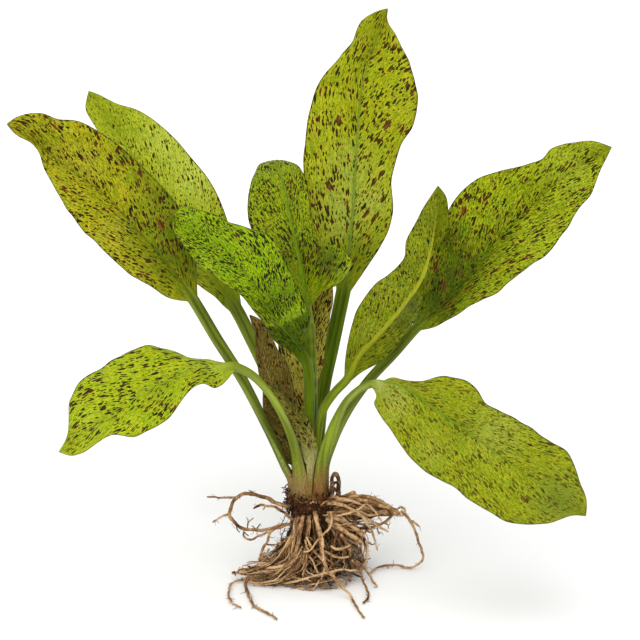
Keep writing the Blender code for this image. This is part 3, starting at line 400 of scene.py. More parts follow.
LEFT_LOOP_GUIDES = [
    (0.48, 0.42, 0.30, [(283, 527, 8.5), (272, 530, 7.5), (265.7, 532.5, 6.5), (258.7, 536.2, 5.5),
        (252.3, 539.7, 5), (247.2, 539.4, 5), (243.6, 536, 5), (243.8, 531, 4.6)]),
    (0.30, 0.24, 0.45, [(247.2, 529, 4.2), (247.6, 525, 4.2), (248, 522.5, 4.2), (251, 520, 4.2),
        (253.5, 518, 4.2)]),
    (0.24, 0.20, 0.45, [(248, 523, 4.2), (247.2, 520, 4.2), (246.2, 517.4, 4.2)]),
    (0.26, 0.20, 0.60, [(257.4, 529, 4.2), (258.6, 526.5, 4.2), (260.4, 523.6, 4.2)]),
    (0.22, 0.18, 0.50, [(254.8, 528.5, 4.2), (253.5, 526.8, 4.2), (251.8, 526, 4.2)]),
    (0.30, 0.22, 0.60, [(236.6, 527, 4.4), (238.2, 530, 4.4), (239.6, 532.6, 4.4)]),
    (0.28, 0.22, 0.55, [(244.5, 532, 5), (246.4, 534, 5), (248.6, 535.8, 5)]),
    (0.26, 0.20, 0.50, [(265, 505.5, 4), (264.6, 508, 4), (263.4, 509.6, 4)]),
    (0.34, 0.28, 0.45, [(285.5, 541, 11), (278, 543.4, 9.5), (272, 544.6, 8), (266.3, 544.6, 7)]),
    (0.20, 0.14, 0.75, [(285.5, 515.6, 6), (284, 519, 6), (282.4, 522.4, 6), (281.6, 524, 6)]),
    (0.20, 0.14, 0.75, [(285, 528, 9), (283, 533, 9), (281, 539.6, 8.6)]),
    (0.22, 0.16, 0.60, [(252.8, 493.6, 4), (250.4, 491.4, 4), (248.8, 490.2, 4)]),
]

# How a leaf's mesh is divided
HALF_COLUMNS = 24
STALK_ROWS = 38
BLADE_ROWS = 110
FOOT_ROWS = 5
LINE_STEPS = 400            # steps in which the length of a smooth line is measured
JOIN_STEPS = 600            # steps in which the end of the stalk is looked for on a leaf's line

# How a leaf is formed, in millimetres where nothing else is said
FOOT_DIP = 3.0              # how far a stalk reaches into the crown
FOOT_RISE = 4               # how far it first goes straight up
SHEATH_HEIGHT = 13          # how high a stalk's foot stays wide
ROUND_RUN = 8               # how far up the blade the stalk's round form goes on
COLUMN_RUN = 12             # how far up the blade the columns stand as they do on the stalk
BLADE_HALF = 0.22           # half of the blade's thickness
RIB_GROOVE_DEPTH = 0.30
RIB_GROOVE_WIDTH = 0.7
VEIN_SLANT = (22, 22)       # degrees between veins and midrib in the left and right halves
RUFFLE = 0.8                # how far the margin waves
RUFFLE_WAVES = ((27, 0.9), (15, 0.5), (8.5, 0.22))      # length and weight of its waves
BULGE = 0.06                # how far each half of the blade swells, as a share of its width
BUCKLES = ((22, 0.6), (6, 0.14))                        # length and height of the blade's uneven places
BUCKLE_WAVES = 7
QUILT_PITCH = 3.4           # from one side vein to the next
QUILT_HEIGHT = 0.16
LONG_VEINS = (0.30, 0.58)   # where the veins beside the midrib run, as a share of the half's width
LONG_VEIN_WIDTH = 0.55
LONG_VEIN_DEPTH = 0.16
FOLD_HEIGHT = 0.7
FOLD_PIXELS = 1.8           # half the width of a fold, as seen
FOOT_COLOUR = (0.240, 0.175, 0.045)
FOOT_BROWN = 0.8

# What all leaves share in their colouring
INK = (0.007, 0.008, 0.001)
UMBER = (0.050, 0.012, 0.002)
RUST = (0.150, 0.040, 0.013)
MARGIN_BROWN = (0.11, 0.075, 0.03)
# Painted highlight along a stalk's edges
STALK_EDGE_HIGHLIGHT = (0.40, 0.42, 0.20)
SHEATH_BROWN = (0.215, 0.088, 0.024)
SPECK_BROWN = (0.085, 0.036, 0.008)
FOOT_END_BROWN = (0.105, 0.040, 0.013)
HALF_SHIFT = 23.7           # keeps the pattern of the right half from mirroring the left one
# Streaks along the veins, from broad to fine: stretch, detail and roughness of their noise, and where it
# darkens and lightens the green: from which value, to which value, and how much
STREAKS = (
    ((1.3, 8.0), 3.0, 0.62, (0.50, 0.34, 0.50), (0.52, 0.66, 0.50)),
    ((4.5, 19.0), 2.0, 0.55, (0.48, 0.34, 0.60), (0.54, 0.66, 0.65)),
    ((11.0, 19.0), 2.0, 0.6, (0.46, 0.32, 0.60), (0.56, 0.68, 0.65)),
)
# Small, middle and large marks: length and width of a mark's cell in centimetres, the smallest radius of
# a mark in its cell and how much it varies, and how strongly the mark covers
MARK_SIZES = (
    (0.29, 0.100, (0.22, 0.20), 0.95),
    (0.50, 0.150, (0.20, 0.28), 0.96),
    (0.90, 0.36, (0.14, 0.22), 0.95),
)


def seen_at(across, down, near):
    """The point at a pixel of the picture, `near` millimetres in front of the aim point."""
    shrink = (VIEW_DISTANCE - near * MM) / VIEW_DISTANCE
    step_right = (across - PICTURE_MIDDLE) * PIXEL * shrink
    step_up = (PICTURE_MIDDLE - down) * PIXEL * shrink
    return AIM + step_right * LOOK_RIGHT + step_up * LOOK_UP - near * MM * LOOK


def seen_on_plane(across, down, axis, value):
    """The point at a pixel of the picture whose coordinate along an axis has the value."""
    eye = AIM - VIEW_DISTANCE * LOOK
    ray = seen_at(across, down, 0) - eye
    return eye + ray * (value - eye[axis]) / ray[axis]


def seen_at_height(across, down, height):
    """The point at a pixel of the picture, `height` millimetres above the ground."""
    return seen_on_plane(across, down, 2, height * MM)


def seen_at_depth(across, down, front):
    """The point at a pixel of the picture, `front` millimetres in front of the plant's axis."""
    return seen_on_plane(across, down, 1, -front * MM)


def picture_place(points):
    """The pixel across and down at which the viewer sees each point."""
    from_aim = points - AIM
    shrink = (VIEW_DISTANCE + from_aim @ LOOK) / VIEW_DISTANCE
    across = PICTURE_MIDDLE + from_aim @ LOOK_RIGHT / PIXEL / shrink
    down = PICTURE_MIDDLE - from_aim @ LOOK_UP / PIXEL / shrink
    return across, down


def travelled(line):
    """How far along the line each of its points is."""
    runs = np.linalg.norm(np.diff(line, axis=0), axis=1)
    return np.concatenate([[0], np.cumsum(runs)])


def length_in_mm(line):
    return np.linalg.norm(np.diff(line, axis=0), axis=1).sum() / MM


def smooth_line(points, shares):
    """Points at the given shares of the length of a smooth line through `points`."""
    points = np.asarray(points, float)
    gaps = np.linalg.norm(np.diff(points, axis=0), axis=1)
    knots = np.concatenate([[0], np.cumsum(gaps)]) / gaps.sum()
    spans = np.diff(knots)
    slopes = np.diff(points, axis=0) / spans[:, None]
    tangents = np.empty_like(points)
    weights = spans[:-1] + spans[1:]
    tangents[1:-1] = (slopes[:-1] * spans[1:, None] + slopes[1:] * spans[:-1, None]) / weights[:, None]
    tangents[0] = 1.5 * slopes[0] - 0.5 * tangents[1]
    tangents[-1] = 1.5 * slopes[-1] - 0.5 * tangents[-2]

    def place(x):
        i = np.clip(np.searchsorted(knots, x, side="right") - 1, 0, len(spans) - 1)
        t = ((x - knots[i]) / spans[i])[:, None]
        span = spans[i][:, None]
        start = (2 * t**3 - 3 * t**2 + 1) * points[i] + (t**3 - 2 * t**2 + t) * span * tangents[i]
        end = (3 * t**2 - 2 * t**3) * points[i + 1] + (t**3 - t**2) * span * tangents[i + 1]
        return start + end

    fine = np.linspace(0, 1, LINE_STEPS)
    length = travelled(place(fine))
    return place(np.interp(np.asarray(shares) * length[-1], length, fine))


def unit(vectors):
    vectors = np.asarray(vectors, float)
    return vectors / np.linalg.norm(vectors, axis=-1, keepdims=True)


def directions(line):
    return unit(np.gradient(line, axis=0))


def carry_side(line, first_side):
    """A direction across the line at each point, carried along it without twist."""
    side = first_side
    sides = []
    for direction in directions(line):
        side = unit(side - direction * (side @ direction))
        sides.append(side)
    return np.array(sides)


def turned(sides, along, angles):
    """The sides, each turned about its direction along the line."""
    other = np.cross(along, sides)
    return sides * np.cos(angles)[:, None] + other * np.sin(angles)[:, None]


def soft_step(x):
    x = np.clip(x, 0, 1)
    return x * x * (3 - 2 * x)


def bell(x):
    """1 at 0, and soon nothing on both sides."""
    return np.exp(-(x ** 2))


def mix(share, a, b):
    return a + (b - a) * share


def gentle_noise(generator, waves, length):
    """A smooth function of two coordinates in millimetres, about -1 to 1, with no feature under `length`."""
    angle = generator.uniform(0, 2 * math.pi, waves)
    pitch = 2 * math.pi / (length * generator.uniform(1.0, 2.6, waves))
    phase = generator.uniform(0, 2 * math.pi, waves)

    def value(x, y):
        total = np.zeros(np.broadcast(x, y).shape)
        for turn, rate, start in zip(angle, pitch, phase):
            total += np.sin(rate * (x * math.cos(turn) + y * math.sin(turn)) + start)
        return total / math.sqrt(waves) / 1.4

    return value


def tube_faces(rows, ring):
    """Quads between rings of points, and the fans that close the first and the last ring.

    The fans meet in the two points that follow the rings in the list of points.
    """
    i, j = np.meshgrid(np.arange(rows - 1), np.arange(ring), indexing="ij")
    here = i * ring + j
    beside = i * ring + (j + 1) % ring
    walls = np.stack([here, beside, beside + ring, here + ring], axis=-1).reshape(-1, 4)
    around = np.arange(ring)
    after = (around + 1) % ring
    last = (rows - 1) * ring
    first_fan = np.stack([after, around, np.full(ring, rows * ring)], axis=1)
    last_fan = np.stack([last + around, last + after, np.full(ring, rows * ring + 1)], axis=1)
    return walls, first_fan, last_fan


def turned_out(points, faces, middle):
    """Whether the face halfway through the list looks away from the middle."""
    quad = points[faces[len(faces) // 2]]
    outward = quad.mean(axis=0) - middle
    return np.dot(np.cross(quad[1] - quad[0], quad[3] - quad[0]), outward) > 0


def mesh_object(name, points, faces, uv_maps, materials, face_materials=None):
    """A smooth mesh piece; `uv_maps` holds two numbers for each point."""
    mesh = bpy.data.meshes.new(name)
    mesh.from_pydata(np.asarray(points).tolist(), [], faces)
    corners = np.empty(len(mesh.loops), np.int32)
    mesh.loops.foreach_get("vertex_index", corners)
    for map_name, values in uv_maps.items():
        layer = mesh.uv_layers.new(name=map_name)
        layer.data.foreach_set("uv", np.asarray(values, np.float32)[corners].ravel())
    for finish in materials:
        mesh.materials.append(finish)
    if face_materials is not None:
        mesh.polygons.foreach_set("material_index", np.asarray(face_materials, np.int32))
    mesh.shade_smooth()
    return placed(bpy.data.objects.new(name, mesh))


def placed(thing):
    """Puts an object into the scene and gives it back."""
    bpy.context.scene.collection.objects.link(thing)
    return thing


def scaled(colour, factor):
    return tuple(min(1.0, part * factor) for part in colour)


class Nodes:
    """Adds shader nodes to one material. Each method gives the new node's output socket."""

    def __init__(self, name):
        self.material = bpy.data.materials.new(name)
        self.material.use_nodes = True
        self.tree = self.material.node_tree
        self.shader = self.tree.nodes["Principled BSDF"]

    def feed(self, socket, value):
        if isinstance(value, bpy.types.NodeSocket):
            self.tree.links.new(value, socket)
        elif socket.type == "RGBA":
            socket.default_value = (*value, 1)
        else:
            socket.default_value = value

    def add(self, kind, settings, values):
        node = self.tree.nodes.new(kind)
        for key, value in settings.items():
            setattr(node, key, value)
        for key, value in values.items():
            self.feed(node.inputs[key], value)
        return node

    def calc(self, operation, a, b=0.0, c=0.0):
        return self.add("ShaderNodeMath", dict(operation=operation), {0: a, 1: b, 2: c}).outputs[0]

    def times(self, a, b):
        return self.calc("MULTIPLY", a, b)

    def times_plus(self, a, factor, more):
        return self.calc("MULTIPLY_ADD", a, factor, more)

    def uv(self, name):
        return self.add("ShaderNodeUVMap", dict(uv_map=name), {}).outputs[0]

    def split(self, vector):
        node = self.add("ShaderNodeSeparateXYZ", {}, {0: vector})
        return node.outputs[0], node.outputs[1]

    def join(self, x, y):
        return self.add("ShaderNodeCombineXYZ", {}, {0: x, 1: y}).outputs[0]

    def stretch(self, vector, scale, shift=(0, 0)):
        values = {0: vector, 1: (*scale, 0), 2: (*shift, 0)}
        return self.add("ShaderNodeVectorMath", dict(operation="MULTIPLY_ADD"), values).outputs[0]

    def noise(self, vector, stretch, detail=2.0, roughness=0.5, shift=(0, 0), scale=1.0):
        """Noise on the stretched vector: a coordinate that is stretched more has finer noise."""
        values = {"Vector": self.stretch(vector, stretch, shift), "Scale": scale}
        values.update({"Detail": detail, "Roughness": roughness})
        return self.add("ShaderNodeTexNoise", dict(noise_dimensions="2D"), values).outputs[0]

    def swirl(self, vector, scale, strength):
        """The vector, moved about by noise."""
        values = {"Vector": vector, "Scale": scale, "Detail": 2.0}
        noise = self.add("ShaderNodeTexNoise", dict(noise_dimensions="2D"), values).outputs[1]
        amount = (strength, strength, 0)
        shift = self.add("ShaderNodeVectorMath", dict(operation="MULTIPLY"), {0: noise, 1: amount})
        values = {0: vector, 1: shift.outputs[0]}
        return self.add("ShaderNodeVectorMath", dict(operation="ADD"), values).outputs[0]

    def step(self, value, low, high):
        """Rises smoothly from 0 at `low` to 1 at `high`, which may be the lower of the two."""
        values = {"Value": value, "From Min": low, "From Max": high}
        return self.add("ShaderNodeMapRange", dict(interpolation_type="SMOOTHSTEP"), values).outputs[0]

    def blend(self, share, a, b):
        return self.add("ShaderNodeMix", dict(data_type="RGBA"), {0: share, 6: a, 7: b}).outputs[2]

    def lay(self, colour, share, strength, other):
        """The colour with another one laid over it, as far as the share and the strength say."""
        return self.blend(self.times(share, strength), colour, other)

    def cells(self, vector, feature, **settings):
        settings.update(voronoi_dimensions="2D", feature=feature)
        return self.add("ShaderNodeTexVoronoi", settings, {"Vector": vector, "Scale": 1.0})

    def finish(self, colour, roughness, height, bump_strength, bump_distance, specular):
        """Sets the shader, with the bump's distance in metres, and gives the material."""
        values = {"Height": height, "Strength": bump_strength, "Distance": bump_distance}
        self.feed(self.shader.inputs["Base Color"], colour)
        self.feed(self.shader.inputs["Roughness"], roughness)
        self.feed(self.shader.inputs["Normal"], self.add("ShaderNodeBump", {}, values).outputs[0])
        self.shader.inputs["Specular IOR Level"].default_value = specular
        return self.material


class LeafSide(Nodes):
    """One side of a leaf: streaky green with a net of pale veins, and brown and near black dashes.

    Places are in centimetres: along and across the blade, or along and across its veins.
    """

    def __init__(self, name, look, seen, shift):
        super().__init__(name)
        self.look = look
        self.seen = seen
        self.shift = shift
        self.place = self.uv("place")
        self.along, self.lateral = self.split(self.place)
        self.distance_in, self.blade_share = self.split(self.uv("edges"))
        # The painted shade of each place, and its paler patches, which are partly painted sheen
        self.deep_tint, self.painted_sheen_and_pale = self.split(self.uv("shade_and_sheen_tints"))
        # Less where the painted shade is deep, so that light streaks, veins and rims stay dark there
        self.unshaded = self.times_plus(self.deep_tint, -0.8, 1.0)
        self.off_rib = self.calc("ABSOLUTE", self.lateral)
        half_shift = self.times(self.calc("GREATER_THAN", self.lateral, 0.0), HALF_SHIFT)
        vein_along, vein_across = self.split(self.uv("veins"))
        self.veins = self.join(self.calc("ADD", vein_along, half_shift),
                               self.calc("ADD", vein_across, half_shift))

    def green(self):
        """The blade's green, deeper at its midrib, with streaks along the veins, painted shade at its base
        and in patches, and paler patches that are partly painted sheen.
        """
        look = self.look
        mottle = self.noise(self.place, (1, 1), 3.0, 0.55, self.shift, 0.9)
        hue = self.noise(self.veins, (1.4, 3.2), 3.0, 0.6, (5.0, 2.0))
        # Deeper near the midrib, and in the patches of painted shade
        deepness = self.times_plus(self.step(self.off_rib, 0.5, 0.0), 0.25, self.deep_tint)
        # Painted shade: darker towards the blade's base
        deepness = self.times_plus(self.step(self.along, 2.4, 0.2), 0.25, deepness)
        deepness = self.times_plus(self.step(mottle, 0.42, 0.70), 0.40, deepness)
        colour = self.blend(self.calc("MINIMUM", deepness, 1.0), look["main"], look["deep"])
        edge_share = self.times(self.step(self.distance_in, 0.75, 0.0), self.step(mottle, 0.66, 0.40))
        colour = self.lay(colour, edge_share, 0.65, look["edge"])
        golden = tuple(part * factor for part, factor in zip(look["main"], (1.22, 1.0, 0.3)))
        fresh = tuple(part * factor for part, factor in zip(look["main"], (0.72, 1.0, 1.0)))
        colour = self.lay(colour, self.step(hue, 0.50, 0.64), 0.7, golden)
        colour = self.lay(colour, self.step(hue, 0.50, 0.36), 0.6, fresh)
        # Paler patches, partly painted sheen and partly the leaf's own paler colour
        colour = self.blend(self.painted_sheen_and_pale, colour, look["pale"])
        shadow = scaled(look["deep"], 0.85)
        light = scaled(look["edge"], 1.22)
        for stretch, detail, roughness, darker, lighter in STREAKS:
            streaks = self.noise(self.veins, stretch, detail, roughness)
            colour = self.lay(colour, self.step(streaks, *darker[:2]), darker[2], shadow)
            lit = self.times(self.step(streaks, *lighter[:2]), self.unshaded)
            colour = self.lay(colour, lit, lighter[2], light)
        # The finest streaks also make the surface uneven
        self.flecks = streaks
        # Painted shade from the patches and below the fold, laid over everything so far
        return self.lay(colour, self.deep_tint, 0.55, shadow)

    def veined(self, colour):
        """Thin paler veins and the net between them."""
        net_place = self.swirl(self.stretch(self.veins, (2.2, 6.0)), 1.3, 0.35)
        net = self.cells(net_place, "DISTANCE_TO_EDGE")
        self.net_line = self.step(net.outputs["Distance"], 0.07, 0.015)
        vein_wave = self.calc("PINGPONG", self.split(self.swirl(self.veins, 1.2, 0.10))[1], 0.13)
        self.vein_line = self.step(vein_wave, 0.016, 0.0)
        share = self.calc("MAXIMUM", self.times(self.net_line, 0.22), self.times(self.vein_line, 0.24))
        return self.lay(colour, share, self.unshaded, self.look["edge"])

    def marks(self, length, width, share, shift, size, ragged):
        """Pointed marks along the veins, one to a cell: how far a place is in one, and beside one."""
        place = self.stretch(self.veins, (1 / length, 1 / width), shift)
        cells = self.cells(self.swirl(place, 1.1, 0.5), "F1", distance="MINKOWSKI")
        cells.inputs["Exponent"].default_value = 1.35
        chance, scatter = self.split(cells.outputs["Color"])
        radius = self.times_plus(scatter, size[1], size[0])
        past_edge = self.calc("SUBTRACT", cells.outputs["Distance"], radius)
        past_edge = self.calc("ADD", past_edge, ragged)
        present = self.calc("LESS_THAN", chance, share)
        inside = self.times(self.step(past_edge, 0.035, -0.035), present)
        beside = self.times(self.step(past_edge, 0.16, 0.05), present)
        return inside, beside

    def marked(self, colour):
        """Marks that crowd in loose clusters away from the blade's base, each in a paler rim."""
        look = self.look
        shift = self.shift
        cluster = self.step(self.noise(self.place, (1, 1), 2.0, 0.5, shift, 1.3), 0.36, 0.60)
        crowd = self.times(self.times_plus(cluster, 1.15, 0.34), self.step(self.along, 0.1, 1.4))
        ragged = self.times_plus(self.noise(self.veins, (7.0, 26.0), 1.0), 0.34, -0.17)
        grown = look.get("mark_size", 1.0)
        shifts = (shift, shift[::-1], (shift[0], 7.3))
        found = []
        for (length, width, size, _), share, own_shift in zip(MARK_SIZES, look["shares"], shifts):
            share = self.times(crowd, share)
            found.append(self.marks(length * grown, width * grown, share, own_shift, size, ragged))
        rim = self.calc("MAXIMUM", self.calc("MAXIMUM", found[0][1], found[1][1]), found[2][1])
        colour = self.lay(colour, self.times(rim, self.unshaded), 0.45, scaled(look["edge"], 1.35))

        redness = self.step(self.noise(self.place, (1, 1), 1.0, 0.5, (9.1, shift[0]), 1.6), 0.62, 0.42)
        redness = self.times(redness, min(1.0, look["red"] * 1.2))
        small_colour = self.blend(redness, INK, UMBER)
        fibres = self.step(self.noise(self.veins, (2.0, 13.0), 0.0), 0.47, 0.56)
        warmth = self.times_plus(redness, 0.6, 0.4)
        large_colour = self.lay(small_colour, fibres, warmth, RUST)
        strength = 1.0 if self.seen else 0.75
        mark_colours = (small_colour, small_colour, large_colour)
        for (_, _, _, cover), (inside, _), mark_colour in zip(MARK_SIZES, found, mark_colours):
            colour = self.lay(colour, inside, cover * strength, mark_colour)
        return colour

    def lined(self, colour):
        """The midrib with painted shade in the fine groove beside it, and the thin brown line of the margin.
        """
        rib_width = self.look.get("rib_width", 0.045)
        from_rib = self.calc("DIVIDE", self.off_rib, self.times_plus(self.blade_share, -0.85, 1.05))
        rib_line = self.step(from_rib, rib_width * 0.75, rib_width * 0.35)
        rib_line = self.times(rib_line, self.step(self.blade_share, 1.0, 0.6))
        colour = self.lay(colour, rib_line, 0.75, self.look["rib"])
        # Painted shade: a dark line in the groove beside the midrib
        groove = self.calc("ABSOLUTE", self.calc("ADD", self.lateral, -0.5 * rib_width))
        groove_shade = self.times(self.step(groove, 0.028, 0.008), self.step(self.blade_share, 0.9, 0.3))
        colour = self.lay(colour, groove_shade, 0.45, scaled(self.look["deep"], 0.7))
        return self.lay(colour, self.step(self.distance_in, 0.034, 0.014), 0.7, MARGIN_BROWN)

    def stalk(self):
        """The stalk's green, with painted shade and sheen, a painted highlight along its edges, its brown
        foot and reddish specks.
        """
        look = self.look
        own = look["stalk"]
        grain = self.noise(self.place, (0.4, 8.0), 3.0, 0.5, self.shift)
        stalk = self.blend(self.step(grain, 0.32, 0.68), scaled(own, 0.68), scaled(own, 1.32))
        # Painted shade in the patches
        stalk = self.lay(stalk, self.deep_tint, 0.5, scaled(own, 0.5))
        # Painted highlight along the stalk's edges
        stalk = self.lay(stalk, self.step(self.distance_in, 0.050, 0.012), 0.14, STALK_EDGE_HIGHLIGHT)
        # Paler patches, partly painted sheen
        stalk = self.blend(self.painted_sheen_and_pale, stalk, look["pale"])
        up_stalk = self.calc("SUBTRACT", self.along, look["foot"])
        uneven_up = self.times_plus(grain, 1.6, up_stalk)
        stalk = self.blend(self.step(uneven_up, 2.7, 1.4), stalk, look.get("foot_colour", FOOT_COLOUR))
        foot_grain = self.noise(self.place, (1.6, 15.0), 3.0, 0.5, self.shift)
        uneven_foot = self.times_plus(foot_grain, 2.4, up_stalk)
        foot_brown = look.get("foot_brown", FOOT_BROWN)
        stalk = self.lay(stalk, self.step(uneven_foot, 1.95, 1.2), foot_brown, SHEATH_BROWN)
        specks = self.noise(self.place, (9.0, 24.0), 1.0, 0.5, self.shift)
        speck_share = self.times(self.step(specks, 0.60, 0.67), self.step(up_stalk, 3.6, 0.8))
        stalk = self.lay(stalk, speck_share, 0.6, SPECK_BROWN)
        uneven_end = self.times_plus(foot_grain, 0.5, up_stalk)
        return self.blend(self.step(uneven_end, 0.42, 0.10), stalk, FOOT_END_BROWN)

    def make(self):
        colour = self.lined(self.marked(self.veined(self.green())))
        on_stalk = self.times(self.step(self.along, 0.9, -0.3), self.step(self.off_rib, 0.42, 0.2))
        on_stalk = self.calc("MAXIMUM", on_stalk, self.step(self.along, 0.1, -0.4))
        colour = self.blend(on_stalk, colour, self.stalk())
        roughness = self.times_plus(self.flecks, 0.26, 0.26 if self.seen else 0.40)
        height = self.times_plus(self.vein_line, -0.6, self.times(self.net_line, -0.5))
        height = self.times_plus(self.flecks, 0.9, height)
        return self.finish(colour, roughness, height, 0.6, 0.0003, 0.045)


def leaf_foot(leaf):
    azimuth = math.radians(leaf["foot"][0])
    radius = leaf["foot"][1]
    return np.array([CROWN_X + radius * math.sin(azimuth), -radius * math.cos(azimuth), CROWN_TOP + GAP])


def leaf_rows(leaf, look):
    """The rows across a leaf from below its foot to its tip.

    Gives each row's middle and its ends, how far it is from the blade's base, and its share in the sheath.
    """
    foot = leaf_foot(leaf)
    stalk = [foot, foot + np.array([0, 0, FOOT_RISE * MM])] + [seen_at(*place) for place in leaf["stalk"]]
    rib = [seen_at(*place) for place in leaf["rib"]]
    shares = np.linspace(0, 1, JOIN_STEPS)
    whole = smooth_line(stalk + rib, shares)
    join = shares[np.argmin(np.linalg.norm(whole - stalk[-1], axis=1))]
    stalk_shares = np.linspace(0, 1, STALK_ROWS + 1)
    stalk_line = smooth_line(stalk + rib, join * stalk_shares)
    blade_shares = np.linspace(0, 1, BLADE_ROWS + 1)
    rib_line = smooth_line(stalk + rib, join + (1 - join) * blade_shares)

    near_base = seen_at(*leaf["right"][1]) - seen_at(*leaf["left"][1])
    rib_direction = unit(rib_line[1] - rib_line[0])
    top_side = unit(near_base - rib_direction * (near_base @ rib_direction))
    base_half = leaf["width"][1] * MM / 2
    margins = []
    for name, sign in (("left", -1), ("right", 1)):
        line = [rib_line[0] + sign * base_half * top_side] + [seen_at(*place) for place in leaf[name]]
        margins.append(smooth_line(line + [rib_line[-1]], blade_shares))
    left, right = margins

    azimuth = math.radians(leaf["foot"][0])
    inward = -1 if leaf["upper_side"] else 1
    foot_side = inward * np.array([math.cos(azimuth), math.sin(azimuth), 0])
    stalk_along = directions(stalk_line)
    sides = carry_side(stalk_line, foot_side)
    other = np.cross(stalk_along[-1], sides[-1])
    twist = math.atan2(top_side @ other, top_side @ sides[-1])
    sides = turned(sides, stalk_along, twist * soft_step(stalk_shares))

    dip = np.linspace(-FOOT_DIP * MM, 0, FOOT_ROWS, endpoint=False)
    below = foot + dip[:, None] * np.array([0, 0, 1])
    stalk_line = np.vstack([below, stalk_line[:-1]])
    sides = np.vstack([np.repeat(sides[:1], FOOT_ROWS, axis=0), sides[:-1]])
    stalk_shares = np.concatenate([np.zeros(FOOT_ROWS), stalk_shares[:-1]])
    height = np.linalg.norm(stalk_line - foot, axis=1)
    height[:FOOT_ROWS] = 0
    flare = np.exp(-(height / (look.get("sheath_height", SHEATH_HEIGHT) * MM)) ** 1.8)
    half = (np.interp(stalk_shares, [0, 1], leaf["width"]) * (1 - flare) + look["sheath"] * flare) * MM / 2
    middles = np.vstack([stalk_line, rib_line])
    lefts = np.vstack([stalk_line - sides * half[:, None], left])
    rights = np.vstack([stalk_line + sides * half[:, None], right])
    travel = travelled(middles)
    travel -= travel[len(stalk_line)]
    flare = np.concatenate([flare, np.zeros(len(rib_line))])
    return middles, lefts, rights, travel, flare


def shade_and_sheen_tints(surface, look):
    """How much painted shade and how much paler colour and painted sheen each place of a leaf has, and how
    near to its fold.
    """
    across, down = picture_place(surface)
    deep = np.zeros(across.shape)
    pale = np.zeros(across.shape)
    ridge = np.zeros(across.shape)
    # Patches of painted shade, and paler patches that are partly painted sheen
    for patch_across, patch_down, radius, deeper, paler in look["patches"]:
        near = np.exp(-((across - patch_across) ** 2 + (down - patch_down) ** 2) / radius ** 2)
        deep += deeper * near
        pale += paler * near
    if "fold" in look:
        line = np.array(look["fold"], float)
        past = down - np.interp(across, line[:, 0], line[:, 1])
        ridge = bell(past / FOLD_PIXELS) * (across > line[0, 0]) * (across < line[-1, 0])
        # Painted shade below the fold, and a painted highlight along it and just above it
        deep += 0.95 * soft_step(past / 4)
        above = bell((past + 6) / 4.5) * soft_step((across - line[0, 0]) / 6)
        pale += 0.7 * ridge + 0.60 * above
    return np.clip(deep, 0, 1), np.clip(pale, 0, 0.9), ridge


def half_normals(middles, edges, along, sign):
    """The normal of the blade's half between the midrib and one margin, row by row."""
    reach = edges - middles
    reach = sign * (reach - along * np.sum(reach * along, axis=1, keepdims=True))
    reach[-1] = reach[-2]
    return unit(np.cross(reach, along))


def wrapped(surface, middles, across, leaf, flare):
    """The foot of a stalk bent round the crown's axis, so that it stands as a sheath."""
    radius = leaf["foot"][1]
    sign = -1 if leaf["upper_side"] else 1
    azimuth = math.radians(leaf["foot"][0]) + sign * across / radius
    centre = np.array([CROWN_X, 0, 0])
    arc = np.stack([np.sin(azimuth), -np.cos(azimuth), 0 * azimuth], axis=2) * radius + centre
    foot_middle = leaf_foot(leaf) * [1, 1, 0]
    arc = arc + (middles - foot_middle)[:, None]
    return mix((flare ** 0.7)[:, None, None], surface, arc)


